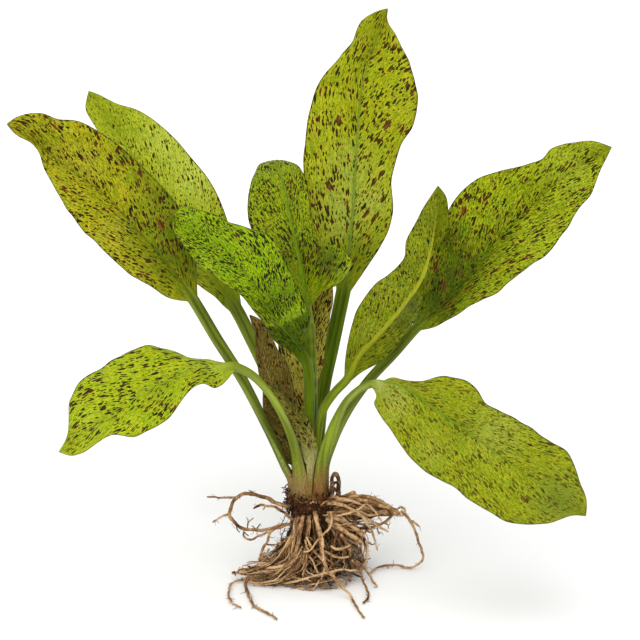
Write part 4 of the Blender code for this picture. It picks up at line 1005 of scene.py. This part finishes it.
class Leaf:
    """A leaf as rows from its foot to its tip, with columns from its left margin to its right one."""

    def __init__(self, name, seed):
        self.name = name
        self.leaf = LEAVES[name]
        self.look = LOOKS[name]
        self.noise = np.random.default_rng(seed)
        middles, lefts, rights, travel, flare = leaf_rows(self.leaf, self.look)
        self.middles = middles
        self.travel = travel
        along = directions(middles)
        normals_left = half_normals(middles, lefts, along, -1)
        normals_right = half_normals(middles, rights, along, 1)

        spread = np.linspace(-1, 1, 2 * HALF_COLUMNS + 1)
        self.past_base = np.clip(travel / travel[-1], 0, 1)[:, None]
        self.into_blade = soft_step(travel / (ROUND_RUN * MM))[:, None]
        round_columns = np.sin(spread * math.pi / 2)
        rib_columns = np.sign(spread) * np.abs(spread) ** 1.45
        t = mix(soft_step(travel / (COLUMN_RUN * MM))[:, None], round_columns, rib_columns)
        self.t = t
        self.size = np.abs(t)
        edges = np.where((t < 0)[..., None], lefts[:, None], rights[:, None])
        self.reach = np.linalg.norm(edges - middles[:, None], axis=2)
        surface = middles[:, None] + self.size[..., None] * (edges - middles[:, None])
        self.surface = wrapped(surface, middles, np.sign(t) * self.size * self.reach, self.leaf, flare)
        turn = soft_step((t / 0.35 + 1) / 2)[..., None]
        self.normals = unit(mix(turn, normals_left[:, None], normals_right[:, None]))
        sides = unit(np.cross(along, unit(normals_left + normals_right)))

        offset = self.surface - middles[:, None]
        self.place_along = travel[:, None] + np.einsum("ijk,ik->ij", offset, along)
        self.place_across = np.einsum("ijk,ik->ij", offset, sides)
        across = 0.55 * np.abs(self.place_across) + 0.45 * self.size * self.reach.max()
        slant = np.radians(np.where(t < 0, *self.look.get("slant", VEIN_SLANT)))
        self.vein_along = self.place_along * np.cos(slant) + across * np.sin(slant)
        self.vein_across = across * np.cos(slant) - self.place_along * np.sin(slant)

    def thickness(self):
        """How far the upper and the under side are from the middle sheet, in millimetres."""
        x_mm = self.size * self.reach / MM
        travel = self.travel
        tapered = 1 - self.past_base
        depth = np.interp(np.clip(travel / -travel[0] + 1, 0, 1), [0, 1], self.leaf["depth"])[:, None]
        rib_half = self.leaf["width"][1] / 2 * (0.16 + 0.84 * tapered ** 2.4)
        rib_half = np.where(travel[:, None] < 0, self.reach / MM, rib_half)
        dome = np.clip(1 - (x_mm / rib_half) ** 2, 0, 1) ** mix(self.into_blade, 0.5, 1.3)
        skin = BLADE_HALF * np.sqrt(1 - self.size ** 6) * self.into_blade
        groove = 1 - 0.55 * bell(x_mm / rib_half / 0.42)
        rib_groove = RIB_GROOVE_DEPTH * bell(x_mm / RIB_GROOVE_WIDTH) * self.into_blade * tapered ** 0.7
        top = 0.42 * depth * dome * groove * (1 - self.into_blade) + skin - rib_groove
        return top, np.hypot(0.58 * depth * dome * (0.10 + 0.90 * tapered ** 1.6), skin)

    def lift(self, ridge):
        """How far the blade rises from its middle sheet, in millimetres: ruffled, swollen, quilted."""
        t, size = self.t, self.size
        s_mm = self.place_along / MM
        y_mm = self.place_across / MM
        ruffle = 0
        for wave, weight in RUFFLE_WAVES:
            phases = self.noise.uniform(0, 2 * math.pi, 2)
            phase = np.where(t < 0, phases[0], phases[1])
            ruffle = ruffle + weight * np.sin(2 * math.pi * s_mm / wave + phase)
        on_blade = self.into_blade * soft_step((1 - self.past_base) * 8)
        lift = self.look.get("ruffle", RUFFLE) * ruffle * size ** 2.5 * on_blade
        lift = lift + BULGE * self.reach / MM * np.sin(math.pi * size) * on_blade
        for (length, height), fade in zip(BUCKLES, (size, 1)):
            buckle = gentle_noise(self.noise, BUCKLE_WAVES, length)(s_mm, y_mm)
            lift = lift + height * buckle * fade * on_blade
        quilt = np.abs(np.sin(math.pi * self.vein_across / MM / QUILT_PITCH))
        lift = lift + QUILT_HEIGHT * (quilt - 0.5) * on_blade * (1 - size ** 4)
        for line_at in LONG_VEINS:
            crease = bell((size - line_at) * self.reach / MM / LONG_VEIN_WIDTH)
            lift = lift - LONG_VEIN_DEPTH * crease * on_blade * (1 - self.past_base)
        return lift + FOLD_HEIGHT * ridge * on_blade

    def make(self):
        deep, pale, ridge = shade_and_sheen_tints(self.surface, self.look)
        top, below = self.thickness()
        lift = self.lift(ridge)
        up = self.normals if self.leaf["upper_side"] else -self.normals
        top_points = self.surface + up * ((lift + top) * MM)[..., None]
        low_points = self.surface + up * ((lift - below) * MM)[..., None]

        rows, columns = self.t.shape
        ring = 2 * columns - 2
        rings = np.concatenate([top_points, low_points[:, -2:0:-1]], axis=1)[:-1]
        foot_middle = rings[0].mean(axis=0, keepdims=True)
        points = np.vstack([rings.reshape(-1, 3), foot_middle, self.middles[-1:]])
        walls, foot_fan, tip_fan = tube_faces(rows - 1, ring)
        faces = [walls, tip_fan, foot_fan]
        if not turned_out(points, walls, rings[(rows - 1) // 2].mean(axis=0)):
            faces = [group[:, ::-1] for group in faces]
        on_top = np.arange(ring) < columns - 1
        slots = np.concatenate([np.tile(np.where(on_top, 0, 1), rows - 1), np.ones(ring)])

        def point_pairs(first, second):
            pairs = np.stack(np.broadcast_arrays(first, second), axis=-1)
            whole = np.concatenate([pairs, pairs[:, -2:0:-1]], axis=1)[:-1].reshape(-1, 2)
            return np.concatenate([whole, pairs[0, :1], pairs[-1, :1]])

        travel = self.travel
        blade_share = np.where(travel < 0, travel / -travel[0], travel / travel[-1])[:, None]
        maps = {
            "place": point_pairs(self.place_along, self.place_across) / CM,
            "veins": point_pairs(self.vein_along, self.vein_across) / CM,
            "edges": point_pairs((1 - self.size) * self.reach / CM, blade_share),
            "shade_and_sheen_tints": point_pairs(deep, pale),
        }
        look = dict(self.look, foot=travel[FOOT_ROWS] / CM)
        shift = tuple(float(value) for value in self.noise.uniform(0, 40, 2))
        upper_seen = self.leaf["upper_side"]
        finishes = [LeafSide(self.name + "_upper", look, upper_seen, shift).make(),
                    LeafSide(self.name + "_under", look, not upper_seen, shift).make()]
        face_list = [face for group in faces for face in group.tolist()]
        piece = mesh_object(self.name + "_grown", points, face_list, maps, finishes, slots)
        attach(piece, "root")
        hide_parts(self.name)


for number, leaf_name in enumerate(LEAVES):
    Leaf(leaf_name, 100 + number).make()


# Roots, in millimetres where nothing else is said
ROOT_ROWS = 34
FLOOR_CLEARANCE = 0.15      # between the thinnest root and the ground
# Pale, middle and dark colour of each kind of root, and of the crown
ROOT_BARK = ((0.62, 0.40, 0.200), (0.25, 0.122, 0.046), (0.040, 0.017, 0.006))
MATTED_BARK = ((0.40, 0.30, 0.195), (0.20, 0.128, 0.068), (0.06, 0.032, 0.015))
# The mat's matted core, coloured darker than its roots as painted shade inside the mat
SHADED_CORE_BARK = ((0.10, 0.055, 0.025), (0.055, 0.028, 0.012), (0.02, 0.01, 0.005))
FIBRE_BARK = ((0.34, 0.18, 0.07), (0.12, 0.048, 0.016), (0.026, 0.010, 0.004))
CROWN_BARK = ((0.30, 0.130, 0.040), (0.115, 0.044, 0.014), (0.016, 0.006, 0.0025))
# The mat's outline: height and distance from its middle, from the crown to the ground
MAT_OUTLINE = [(29.5, 6.4), (24, 9.4), (15, 14.2), (7, 18.3), (1.2, 21.0)]
MAT_MIDDLE = (-2.0, -1.2)
BACK_SHARE = 0.32           # how much less the mat reaches to the back
CURTAIN_ROOTS = 170
CURTAIN_ROUNDS = 7          # how often the curtain's roots go round the crown
GROUND_ROOTS = 62
MATTED_HAIRS = 1900
CROWN_FIBRES = 560
ROOT_HAIR = (0.25, 1.0)     # lengths of the short hairs on a root
BUNDLE_HAIR = (0.25, 0.9)
HAIR_RADIUS = 0.075
ROOTLET_TURN = 0.45         # how much a rootlet turns at each step
ROOTLET_DROOP = 0.05
STRAY_LIMIT = 1.5           # how many times its usual spread a root may be off its bundle's middle
# Stations up the crown and down the mat's dark core: middle (x, y, z) and half widths (x, y)
CROWN_STATIONS = [(-3.1, 0, 24.5, 6.0, 6.0), (-3.1, 0, 26, 8.0, 7.8), (-3.2, 0, 28.5, 8.9, 8.7),
                  (-3.4, 0, 31.0, 8.9, 8.7), (-3.8, 0, 33.5, 8.3, 8.1), (-3.9, 0, 35.2, 7.2, 7.0),
                  (-3.9, 0, 37.6, 5.0, 4.8), (-3.9, 0, 40.0, 2.0, 2.0)]
CORE_STATIONS = [(-3.9, 0, 28.5, 5.5, 5.5), (-3.4, -0.4, 23, 6.6, 6.4), (-2.4, -1, 15, 9.6, 9.2),
                 (-2, -1.2, 8, 12.6, 12.0), (-2, -1.2, 3, 15.0, 14.2), (-2, -1.2, 0.9, 13.5, 12.8)]
# Bundles of thin roots: a route (pixel across, pixel down, millimetres in front of the plant's axis), how
# wide the bundle is at each place of it, how many roots, and from which to which value each takes its
# radius, its tone and its end along the route, and how many hairs it has for each millimetre
BUNDLES_RIGHT = [
    dict(route=[(322, 511, 2), (334, 510, 2), (350, 510, 2), (368, 511, 1.5), (384, 512, 1),
                (400, 513.5, 0)],
         spreads=(3.6, 4.4, 4.6, 3.8, 2.2, 0.8), number=50, radii=(0.24, 0.62), tones=(0.0, 0.95),
         ends=(0.62, 1.0), hairs=0.9),
    dict(route=[(323, 516, 4), (338, 519, 4), (354, 523, 3.5), (370, 526, 3), (383, 524, 3)],
         spreads=(3.2, 3.8, 3.4, 2.4, 1.6), number=18, radii=(0.20, 0.45), tones=(0.1, 0.9),
         ends=(0.5, 1.0), hairs=1.1),
    dict(route=[(323, 518, 4), (338, 524, 5), (354, 533, 5), (363, 546, 5), (362, 560, 8)],
         spreads=(3.4, 4.2, 3.6, 2.4, 2.0), number=22, radii=(0.24, 0.60), tones=(0.1, 0.95),
         ends=(0.6, 1.0), hairs=0.9),
]
BUNDLES_LEFT = [
    dict(route=[(299, 517, 6), (295, 530, 9), (292, 543, 11.5), (285, 556, 13), (271, 565, 13),
                (255, 570, 12), (238, 572, 11)],
         spreads=(1.8, 2.2, 2.6, 2.6, 2.4, 2.6, 2.4), number=36, radii=(0.22, 0.50), tones=(-0.25, 0.9),
         ends=(0.84, 1.0), hairs=0.9),
    dict(route=[(303, 552, 15), (293, 567, 17), (279, 576, 17), (262, 577, 16), (243, 576, 14)],
         spreads=(2.0, 2.6, 2.8, 2.6, 2.0), number=28, radii=(0.18, 0.40), tones=(-0.2, 0.8),
         ends=(0.75, 1.0), hairs=1.2),
]


def root_finish(name, pale, middle, dark):
    """Bark of a root: pale to dark by the strand's own tone, mottled along its length."""
    nodes = Nodes(name)
    grain = nodes.uv("grain")
    tone, _ = nodes.split(nodes.uv("tone"))
    mottle = nodes.noise(grain, (1.6, 5.0), 3.0, 0.6)
    fine = nodes.noise(grain, (9.0, 22.0), 2.0, 0.6)
    shade = nodes.times_plus(nodes.calc("SUBTRACT", mottle, 0.5), 1.6, tone)
    shade = nodes.times_plus(nodes.calc("SUBTRACT", fine, 0.5), 1.0, shade)
    colour = nodes.blend(nodes.step(shade, 0.05, 0.55), pale, middle)
    colour = nodes.blend(nodes.step(shade, 0.50, 1.0), colour, dark)
    patches = nodes.step(nodes.noise(grain, (2.2, 3.0), 2.0, 0.5, (7, 3)), 0.60, 0.72)
    colour = nodes.lay(colour, patches, 0.45, dark)
    roughness = nodes.times_plus(fine, 0.25, 0.58)
    return nodes.finish(colour, roughness, nodes.calc("ADD", mottle, fine), 0.6, 0.0003, 0.12)


def crown_finish():
    """Dark fibrous bark with warm patches high on the crown."""
    nodes = Nodes("crown_bark")
    grain = nodes.uv("grain")
    fibres = nodes.noise(grain, (2.0, 14.0), 3.0, 0.65)
    patches = nodes.noise(grain, (3.0, 2.2), 3.0, 0.6)
    height, _ = nodes.split(grain)
    pale, middle, dark = CROWN_BARK
    colour = nodes.blend(nodes.step(fibres, 0.35, 0.7), dark, middle)
    warm = nodes.times(nodes.step(patches, 0.46, 0.62), nodes.step(height, 2.9, 3.3))
    colour = nodes.lay(colour, warm, 0.8, pale)
    return nodes.finish(colour, nodes.times_plus(patches, 0.4, 0.45), fibres, 0.7, 0.0006, 0.1)


class Bundle:
    """Round strands gathered for one mesh. A strand's tone runs from 0, pale, to 1, dark."""

    def __init__(self, seed):
        self.noise = np.random.default_rng(seed)
        self.points = []
        self.faces = []
        self.grain = []
        self.tone = []
        self.count = 0

    def add(self, lines, radii, sides, tones):
        """Strands of equal point counts: lines (n, points, 3), radii (n, points) and tones (n, points)."""
        number, length, _ = lines.shape
        lines = lines.copy()
        lines[..., 2] = np.maximum(lines[..., 2], radii + FLOOR_CLEARANCE * MM)
        along = unit(np.gradient(lines, axis=1))
        side = np.cross(along[:, 0], [0.31, 0.22, 0.93])
        sides_along = []
        for step in range(length):
            direction = along[:, step]
            side = unit(side - direction * np.sum(side * direction, axis=1, keepdims=True))
            sides_along.append(side)
        sides_along = np.stack(sides_along, axis=1)[:, :, None]
        others = np.cross(along[:, :, None], sides_along)
        around = np.arange(sides)
        angles = 2 * math.pi * around / sides
        reach = np.cos(angles)[:, None] * sides_along + np.sin(angles)[:, None] * others
        rings = lines[:, :, None] + reach * radii[:, :, None, None]
        ends = np.stack([lines[:, 0] - along[:, 0] * radii[:, :1] * 0.4,
                         lines[:, -1] + along[:, -1] * radii[:, -1:] * 0.8], axis=1)
        points = np.concatenate([rings.reshape(number, -1, 3), ends], axis=1)
        first_points = self.count + np.arange(number)[:, None, None] * points.shape[1]
        for template in tube_faces(length, sides):
            self.faces.append((template[None] + first_points).reshape(-1, template.shape[1]))

        runs = np.linalg.norm(np.diff(lines, axis=1), axis=2)
        travel = np.concatenate([np.zeros((number, 1)), np.cumsum(runs, axis=1)], axis=1)
        travel = travel / CM + self.noise.uniform(0, 60, (number, 1))
        girth = np.abs(1 - 2 * around / sides) * math.pi
        chance = self.noise.uniform(0, 1, (number, 1, 1)) + 0 * girth
        for store, pair in ((self.grain, (travel[:, :, None], girth * radii[:, :, None] / CM)),
                            (self.tone, (tones[:, :, None], chance))):
            values = np.stack(np.broadcast_arrays(*pair), axis=-1)
            end_values = values[:, [0, -1], 0]
            store.append(np.concatenate([values.reshape(number, -1, 2), end_values], axis=1).reshape(-1, 2))
        self.points.append(points.reshape(-1, 3))
        self.count += number * points.shape[1]

    def root(self, places, radii, tone, rows=ROOT_ROWS, sides=7, wobble=0.18, dark_start=0.0):
        """One root through its places, a little uneven in line and girth. Gives its line and its radii."""
        shares = np.linspace(0, 1, rows)
        line = smooth_line(places, shares)
        length = length_in_mm(line)
        shift = np.stack([self.ripple(shares, length, 5.0) for _ in range(3)], axis=1)
        line = line + shift * wobble * MM * np.sin(math.pi * shares)[:, None] ** 0.5
        girth = np.interp(shares, [0, 1], radii) * MM
        swell = 0.10 * self.ripple(shares, length, 2.4)
        girth = girth * (1 + swell + 0.05 * self.noise.standard_normal(rows))
        girth[-2:] *= [0.9, 0.62]
        tones = tone + 0.12 * self.ripple(shares, length, 8.0) + dark_start * np.exp(-shares * length / 2.2)
        self.add(line[None], girth[None], sides, np.asarray(tones)[None])
        return line, girth

    def ripple(self, shares, length, wave):
        """A smooth random curve along a root of `length`, with no wave shorter than `wave`."""
        total = np.zeros(len(shares))
        for stretch in (1.0, 1.7, 3.1):
            turns = 2 * math.pi * shares * (length / (wave * stretch))
            total += np.sin(turns + self.noise.uniform(0, 2 * math.pi)) * stretch ** 0.5
        return total / 2.2

    def wander(self, starts, headings, lengths, steps, drift, droop):
        """Lines that set out from points and wander, each turned a little at every step."""
        heading = unit(headings)
        line = [starts]
        for _ in range(steps):
            turn = drift * self.noise.standard_normal(heading.shape)
            heading = unit(heading + turn - np.array([0, 0, droop]))
            line.append(line[-1] + heading * (lengths / steps)[:, None])
        return np.stack(line, axis=1)

    def rootlets(self, line, girth, number, lengths, radius, tone, steps=5):
        """Fine roots that leave a root all round, at random places along it."""
        at = self.noise.uniform(0.04, 0.98, number) * (len(line) - 1)
        low = np.minimum(at.astype(int), len(line) - 2)
        starts = mix((at - low)[:, None], line[low], line[low + 1])
        along = unit(line[low + 1] - line[low])
        random = self.noise.standard_normal((number, 3))
        outward = unit(random - along * np.sum(random * along, axis=1, keepdims=True))
        starts = starts + outward * girth[low][:, None] * 0.7
        reach = self.noise.uniform(*lengths, number) * MM
        lines = self.wander(starts, outward + 0.35 * along, reach, steps, ROOTLET_TURN, ROOTLET_DROOP)
        thin = radius * self.noise.uniform(0.7, 1.3, (number, 1)) * MM
        radii = thin * np.linspace(1.15, 0.45, steps + 1)
        tones = tone + self.noise.uniform(-0.15, 0.2, (number, 1)) + np.zeros(steps + 1)
        self.add(lines, radii, 3, tones)

    def make(self, name, finish, *nodes):
        faces = [face for group in self.faces for face in group.tolist()]
        maps = {"grain": np.vstack(self.grain), "tone": np.vstack(self.tone)}
        piece = mesh_object(name, np.vstack(self.points), faces, maps, [finish])
        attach(piece, "root")
        if nodes:
            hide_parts(*nodes)


def add_guides(bundle, guides, hairs):
    """The roots of a list of guides, each with its rootlets."""
    for thick, thin, tone, places in guides:
        line, girth = bundle.root([seen_at_depth(*place) for place in places], (thick, thin), tone)
        length = length_in_mm(line)
        bundle.rootlets(line, girth, int(length * hairs * 0.35) + 1, (0.8, 3.2), 0.13, tone + 0.15)
        bundle.rootlets(line, girth, int(length * hairs) + 2, ROOT_HAIR, HAIR_RADIUS, tone + 0.1, steps=3)


def make_single_root(name, seed, finish):
    root = ROOTS[name]
    bundle = Bundle(seed)
    places = [seen_at_height(*place) for place in root["places"]]
    line, girth = bundle.root(places, root["radius"], root.get("tone", 0.35), rows=90, sides=9, wobble=0.22)
    length = length_in_mm(line)
    bundle.rootlets(line, girth, int(length * 0.20) + 2, (1.0, 3.4), 0.14, 0.5)
    bundle.rootlets(line, girth, int(length * 1.4) + 3, ROOT_HAIR, 0.08, 0.4, steps=3)
    if name == "root_left_loop":
        add_guides(bundle, LEFT_LOOP_GUIDES, 0.6)
    bundle.make(name + "_grown", finish, name)


def bundle_along(bundle, route, spreads, number, radii, tones, ends, hairs):
    """Roots side by side along a route, each keeping its own place in the bundle's width."""
    middles = np.array([seen_at_depth(*place) for place in route])
    for _ in range(number):
        across = np.clip(bundle.noise.standard_normal(3), -STRAY_LIMIT, STRAY_LIMIT)
        bends = np.clip(bundle.noise.standard_normal((len(route), 3)), -STRAY_LIMIT, STRAY_LIMIT)
        own = 0.5 * across + 0.35 * bends
        places = middles + own * np.asarray(spreads)[:, None] * MM
        thick = bundle.noise.uniform(*radii)
        end = bundle.noise.uniform(*ends)
        whole = smooth_line(places, np.linspace(0, end, 12))
        tone = bundle.noise.uniform(*tones)
        line, girth = bundle.root(whole, (thick, thick * 0.6), tone, rows=26, sides=5)
        length = length_in_mm(line)
        bundle.rootlets(line, girth, int(length * hairs * 0.3), (0.8, 3.0), 0.12, tone + 0.1)
        bundle.rootlets(line, girth, int(length * hairs), BUNDLE_HAIR, HAIR_RADIUS, tone + 0.1, steps=3)


def mat_place(azimuth, share, layer):
    """A place on the mat's outline: `share` 0 at the crown and 1 at the ground, `layer` 1 at its surface."""
    heights, reaches = np.array(MAT_OUTLINE).T
    stations = np.linspace(0, 1, len(heights))
    height = np.interp(share, stations, heights)
    reach = np.interp(share, stations, reaches) * layer
    reach *= 1 - BACK_SHARE * max(0, -math.sin(azimuth)) * math.sin(math.pi * min(1, share * 1.15))
    sway = np.interp(share, [0, 0.5, 1], [0, 0.7, 1])
    x = mix(sway, CROWN_X / MM, MAT_MIDDLE[0]) + reach * math.sin(azimuth)
    y = sway * MAT_MIDDLE[1] - reach * math.cos(azimuth)
    return np.array([x, y, height]) * MM


def add_curtain(bundle):
    """Roots that leave the crown on every side, run down the mat and out along the ground."""
    for i in range(CURTAIN_ROOTS):
        rounds = (i + bundle.noise.uniform(-0.6, 0.6)) / CURTAIN_ROOTS * CURTAIN_ROUNDS
        azimuth = 2 * math.pi * rounds
        layer = bundle.noise.uniform(0.58, 1.0)
        drift = bundle.noise.normal(0, 0.30)
        end = bundle.noise.uniform(0.62, 1.0)
        places = []
        for share in np.linspace(0, end, 6):
            wave = bundle.noise.normal(0, 0.07)
            places.append(mat_place(azimuth + drift * share + wave, share, layer))
        if end > 0.86:
            tail = bundle.noise.uniform(2, 8)
            turn = azimuth + drift + bundle.noise.normal(0, 0.9)
            out = np.array([math.sin(turn), -math.cos(turn), 0]) * tail * MM
            places.append(places[-1] + out - np.array([0, 0, 0.6 * MM]))
        thick = bundle.noise.uniform(0.26, 0.74)
        # Roots deeper in the mat are painted darker, as shade; the rest of the tone is random
        tone = bundle.noise.uniform(0.2, 1.2) + 0.9 * (1 - layer)
        line, girth = bundle.root(places, (thick, thick * 0.55), tone, rows=26, sides=5, wobble=0.3,
                                  dark_start=0.8)
        bundle.rootlets(line, girth, 6, (0.8, 4.0), 0.13, tone + 0.1)
        bundle.rootlets(line, girth, 12, (0.3, 1.1), HAIR_RADIUS, tone + 0.1, steps=3)


def add_ground_roots(bundle):
    """Thin roots that lie round the mat near the ground."""
    for _ in range(GROUND_ROOTS):
        azimuth = bundle.noise.uniform(0, 2 * math.pi)
        sweep = bundle.noise.choice([-1, 1]) * bundle.noise.uniform(0.3, 1.3)
        share = bundle.noise.uniform(0.55, 0.98)
        layer = bundle.noise.uniform(0.75, 1.08)
        places = []
        for step in np.linspace(0, 1, 6):
            here = share + 0.07 * math.sin(step * 5 + azimuth * 3) + bundle.noise.normal(0, 0.015)
            depth = layer + bundle.noise.normal(0, 0.03)
            places.append(mat_place(azimuth + sweep * step, min(here, 1), depth))
        thick = bundle.noise.uniform(0.22, 0.48)
        tone = bundle.noise.uniform(0.1, 0.7)
        line, girth = bundle.root(places, (thick, thick * 0.7), tone, rows=24, sides=5, wobble=0.35)
        bundle.rootlets(line, girth, 7, (0.8, 3.2), 0.11, tone + 0.1)


def add_matted_hair(bundle, number):
    """Curly hair-thin roots that felt together low in the mat, grey with dust."""
    azimuths = bundle.noise.uniform(0, 2 * math.pi, number)
    shares = bundle.noise.uniform(0.35, 1.0, number) ** 0.7
    layers = bundle.noise.uniform(0.74, 1.0, number)
    layers -= 0.22 * np.maximum(0, -np.sin(azimuths)) * (shares < 0.9)
    starts = np.array([mat_place(*place) for place in zip(azimuths, shares, layers)])
    headings = bundle.noise.standard_normal((number, 3)) * [1, 1, 0.5]
    lengths = bundle.noise.uniform(2.5, 7.5, number) * MM
    steps = 8
    lines = bundle.wander(starts, headings, lengths, steps, drift=0.75, droop=0.02)
    radii = bundle.noise.uniform(0.055, 0.10, (number, 1)) * np.linspace(1.1, 0.7, steps + 1) * MM
    tones = bundle.noise.uniform(0.0, 0.8, (number, 1)) + np.zeros(steps + 1)
    bundle.add(lines, radii, 3, tones)


def add_crown_fibres(bundle, number):
    """Dark frayed fibres and root stumps that stand out of the crown."""
    azimuth = bundle.noise.uniform(0, 2 * math.pi, number)
    height = bundle.noise.uniform(26.5, 36.5, number)
    out = np.stack([np.sin(azimuth), -np.cos(azimuth), np.zeros(number)], axis=1)
    starts = out * CROWN_RADIUS + np.array([CROWN_X, 0, 0])
    starts[:, 2] = height * MM
    lift = np.clip((height - 33) / 3, 0, 1)[:, None]
    headings = out * (0.8 - 0.7 * lift) + bundle.noise.standard_normal((number, 3)) * 0.6 + [0, 0, -0.5]
    headings = headings + lift * [0, 0, 0.9]
    lengths = bundle.noise.uniform(0.8, 3.6, number) * MM
    steps = 5
    lines = bundle.wander(starts, headings, lengths, steps, drift=0.5, droop=0.15)
    radii = bundle.noise.uniform(0.08, 0.24, (number, 1)) * np.linspace(1.2, 0.6, steps + 1) * MM
    tones = bundle.noise.choice([1.0, 0.9, 0.75, 0.4], (number, 1)) + np.zeros(steps + 1)
    bundle.add(lines, radii, 4, tones)


def lumpy_body(name, stations, seed, finish, roughness, rows=48, columns=84):
    """A closed body round a line of stations, with an uneven skin."""
    noise = np.random.default_rng(seed)
    stations = np.array(stations, float)
    at = np.linspace(0, 1, len(stations))
    shares = np.linspace(0, 1, rows)
    smooth = np.stack([np.interp(shares, at, stations[:, i]) for i in range(5)], axis=1)
    angles = 2 * math.pi * np.arange(columns) / columns
    girth = smooth[:, 3].max()
    arc = angles[None] * girth
    height = smooth[:, 2:3]
    swell = gentle_noise(noise, 9, 5.0)
    fibre = gentle_noise(noise, 14, 1.5)
    arc = np.minimum(arc, 2 * math.pi * girth - arc)
    skin = 1 + roughness * (0.6 * swell(arc, height) + 0.5 * fibre(arc, height * 0.35))
    x = smooth[:, 0:1] + smooth[:, 3:4] * np.sin(angles)[None] * skin
    y = smooth[:, 1:2] - smooth[:, 4:5] * np.cos(angles)[None] * skin
    points = np.stack([x, y, height + 0 * x], axis=-1).reshape(-1, 3) * MM
    points = np.vstack([points, smooth[[0, -1], :3] * MM])
    groups = tube_faces(rows, columns)
    if stations[0, 2] > stations[-1, 2]:
        groups = [group[:, ::-1] for group in groups]
    faces = [face for group in groups for face in group.tolist()]
    grain = np.stack(np.broadcast_arrays(height / 10, arc / 10), axis=-1).reshape(-1, 2)
    grain = np.vstack([grain, grain[:1], grain[-1:]])
    tone = np.stack([np.full(len(grain), 0.9), np.full(len(grain), 0.5)], axis=1)
    piece = mesh_object(name, points, faces, {"grain": grain, "tone": tone}, [finish])
    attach(piece, "root")
    return piece


def make_roots():
    bark = root_finish("root_bark", *ROOT_BARK)
    dust = root_finish("root_hair", *MATTED_BARK)
    for number, name in enumerate(ROOTS):
        make_single_root(name, 300 + number, bark)

    mat = Bundle(401)
    add_curtain(mat)
    add_guides(mat, MAT_GUIDES, 1.0)
    add_ground_roots(mat)
    mat.make("root_mat_grown", bark, "root_mat")

    hair = Bundle(402)
    add_matted_hair(hair, MATTED_HAIRS)
    hair.make("root_mat_hair", dust)
    # The core is painted dark as shade inside the mat
    shaded_core_finish = root_finish("root_core_shaded", *SHADED_CORE_BARK)
    lumpy_body("root_mat_core", CORE_STATIONS, 403, shaded_core_finish, roughness=0.10)

    right = Bundle(404)
    for bundle in BUNDLES_RIGHT:
        bundle_along(right, **bundle)
    add_guides(right, SHEAF_RIGHT_GUIDES, 1.2)
    right.make("root_sheaf_right_grown", bark, "root_sheaf_right")

    left = Bundle(405)
    for bundle in BUNDLES_LEFT:
        bundle_along(left, **bundle)
    add_guides(left, SHEAF_LEFT_GUIDES, 1.0)
    left.make("root_sheaf_left_grown", bark, "root_sheaf_left")

    crown_piece = lumpy_body("crown_grown", CROWN_STATIONS, 406, crown_finish(), roughness=0.07,
                             rows=70, columns=150)
    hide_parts("crown")
    fibres = Bundle(407)
    add_crown_fibres(fibres, CROWN_FIBRES)
    fibres.make("crown_fibres", root_finish("crown_fibre", *FIBRE_BARK))


make_roots()

# Floor, light and camera
FLOOR_HALF = 6.0
FLOOR_WHITE = (0.885, 0.885, 0.885, 1)
WORLD_STRENGTH = 0.95
SUN_SOFTNESS = 60           # degrees that a light spreads over, so that its shadows stay soft
OVERHEAD_STRENGTH = 1.5
FRONT_STRENGTH = 0.45
SENSOR_WIDTH = 36
CAMERA_REACH = 20


def make_floor():
    half = FLOOR_HALF
    corners = [(-half, -half, 0), (half, -half, 0), (half, half, 0), (-half, half, 0)]
    mesh = bpy.data.meshes.new("floor")
    mesh.from_pydata(corners, [], [(0, 1, 2, 3)])
    nodes = Nodes("floor white")
    nodes.shader.inputs["Base Color"].default_value = FLOOR_WHITE
    nodes.shader.inputs["Roughness"].default_value = 0.6
    nodes.shader.inputs["Specular IOR Level"].default_value = 0.2
    mesh.materials.append(nodes.material)
    floor = placed(bpy.data.objects.new("floor", mesh))


def make_sun(name, towards, strength):
    """A soft light from far away that shines along `towards`."""
    light = bpy.data.lights.new(name, "SUN")
    light.energy = strength
    light.angle = math.radians(SUN_SOFTNESS)
    lamp = placed(bpy.data.objects.new(name, light))
    lamp.rotation_euler = Vector(towards).to_track_quat("-Z", "Y").to_euler()


def make_world():
    world = bpy.data.worlds.new("studio white")
    world.use_nodes = True
    background = world.node_tree.nodes["Background"]
    background.inputs["Color"].default_value = (1, 1, 1, 1)
    background.inputs["Strength"].default_value = WORLD_STRENGTH
    bpy.context.scene.world = world


def make_camera():
    lens = bpy.data.cameras.new("camera")
    half_frame = PICTURE_MIDDLE * PIXEL
    lens.sensor_width = SENSOR_WIDTH
    lens.lens = lens.sensor_width / 2 * VIEW_DISTANCE / half_frame
    lens.clip_end = CAMERA_REACH
    camera = placed(bpy.data.objects.new("camera", lens))
    camera.location = AIM - LOOK * VIEW_DISTANCE
    camera.rotation_euler = (math.pi / 2 - VIEW_ANGLE, 0, 0)
    bpy.context.scene.camera = camera


make_floor()
make_world()
make_sun("overhead softbox", (0.25, 0.45, -1), OVERHEAD_STRENGTH)
make_sun("front fill", (-0.2, 1, -0.35), FRONT_STRENGTH)
make_camera()
bpy.context.scene.view_settings.view_transform = "Standard"
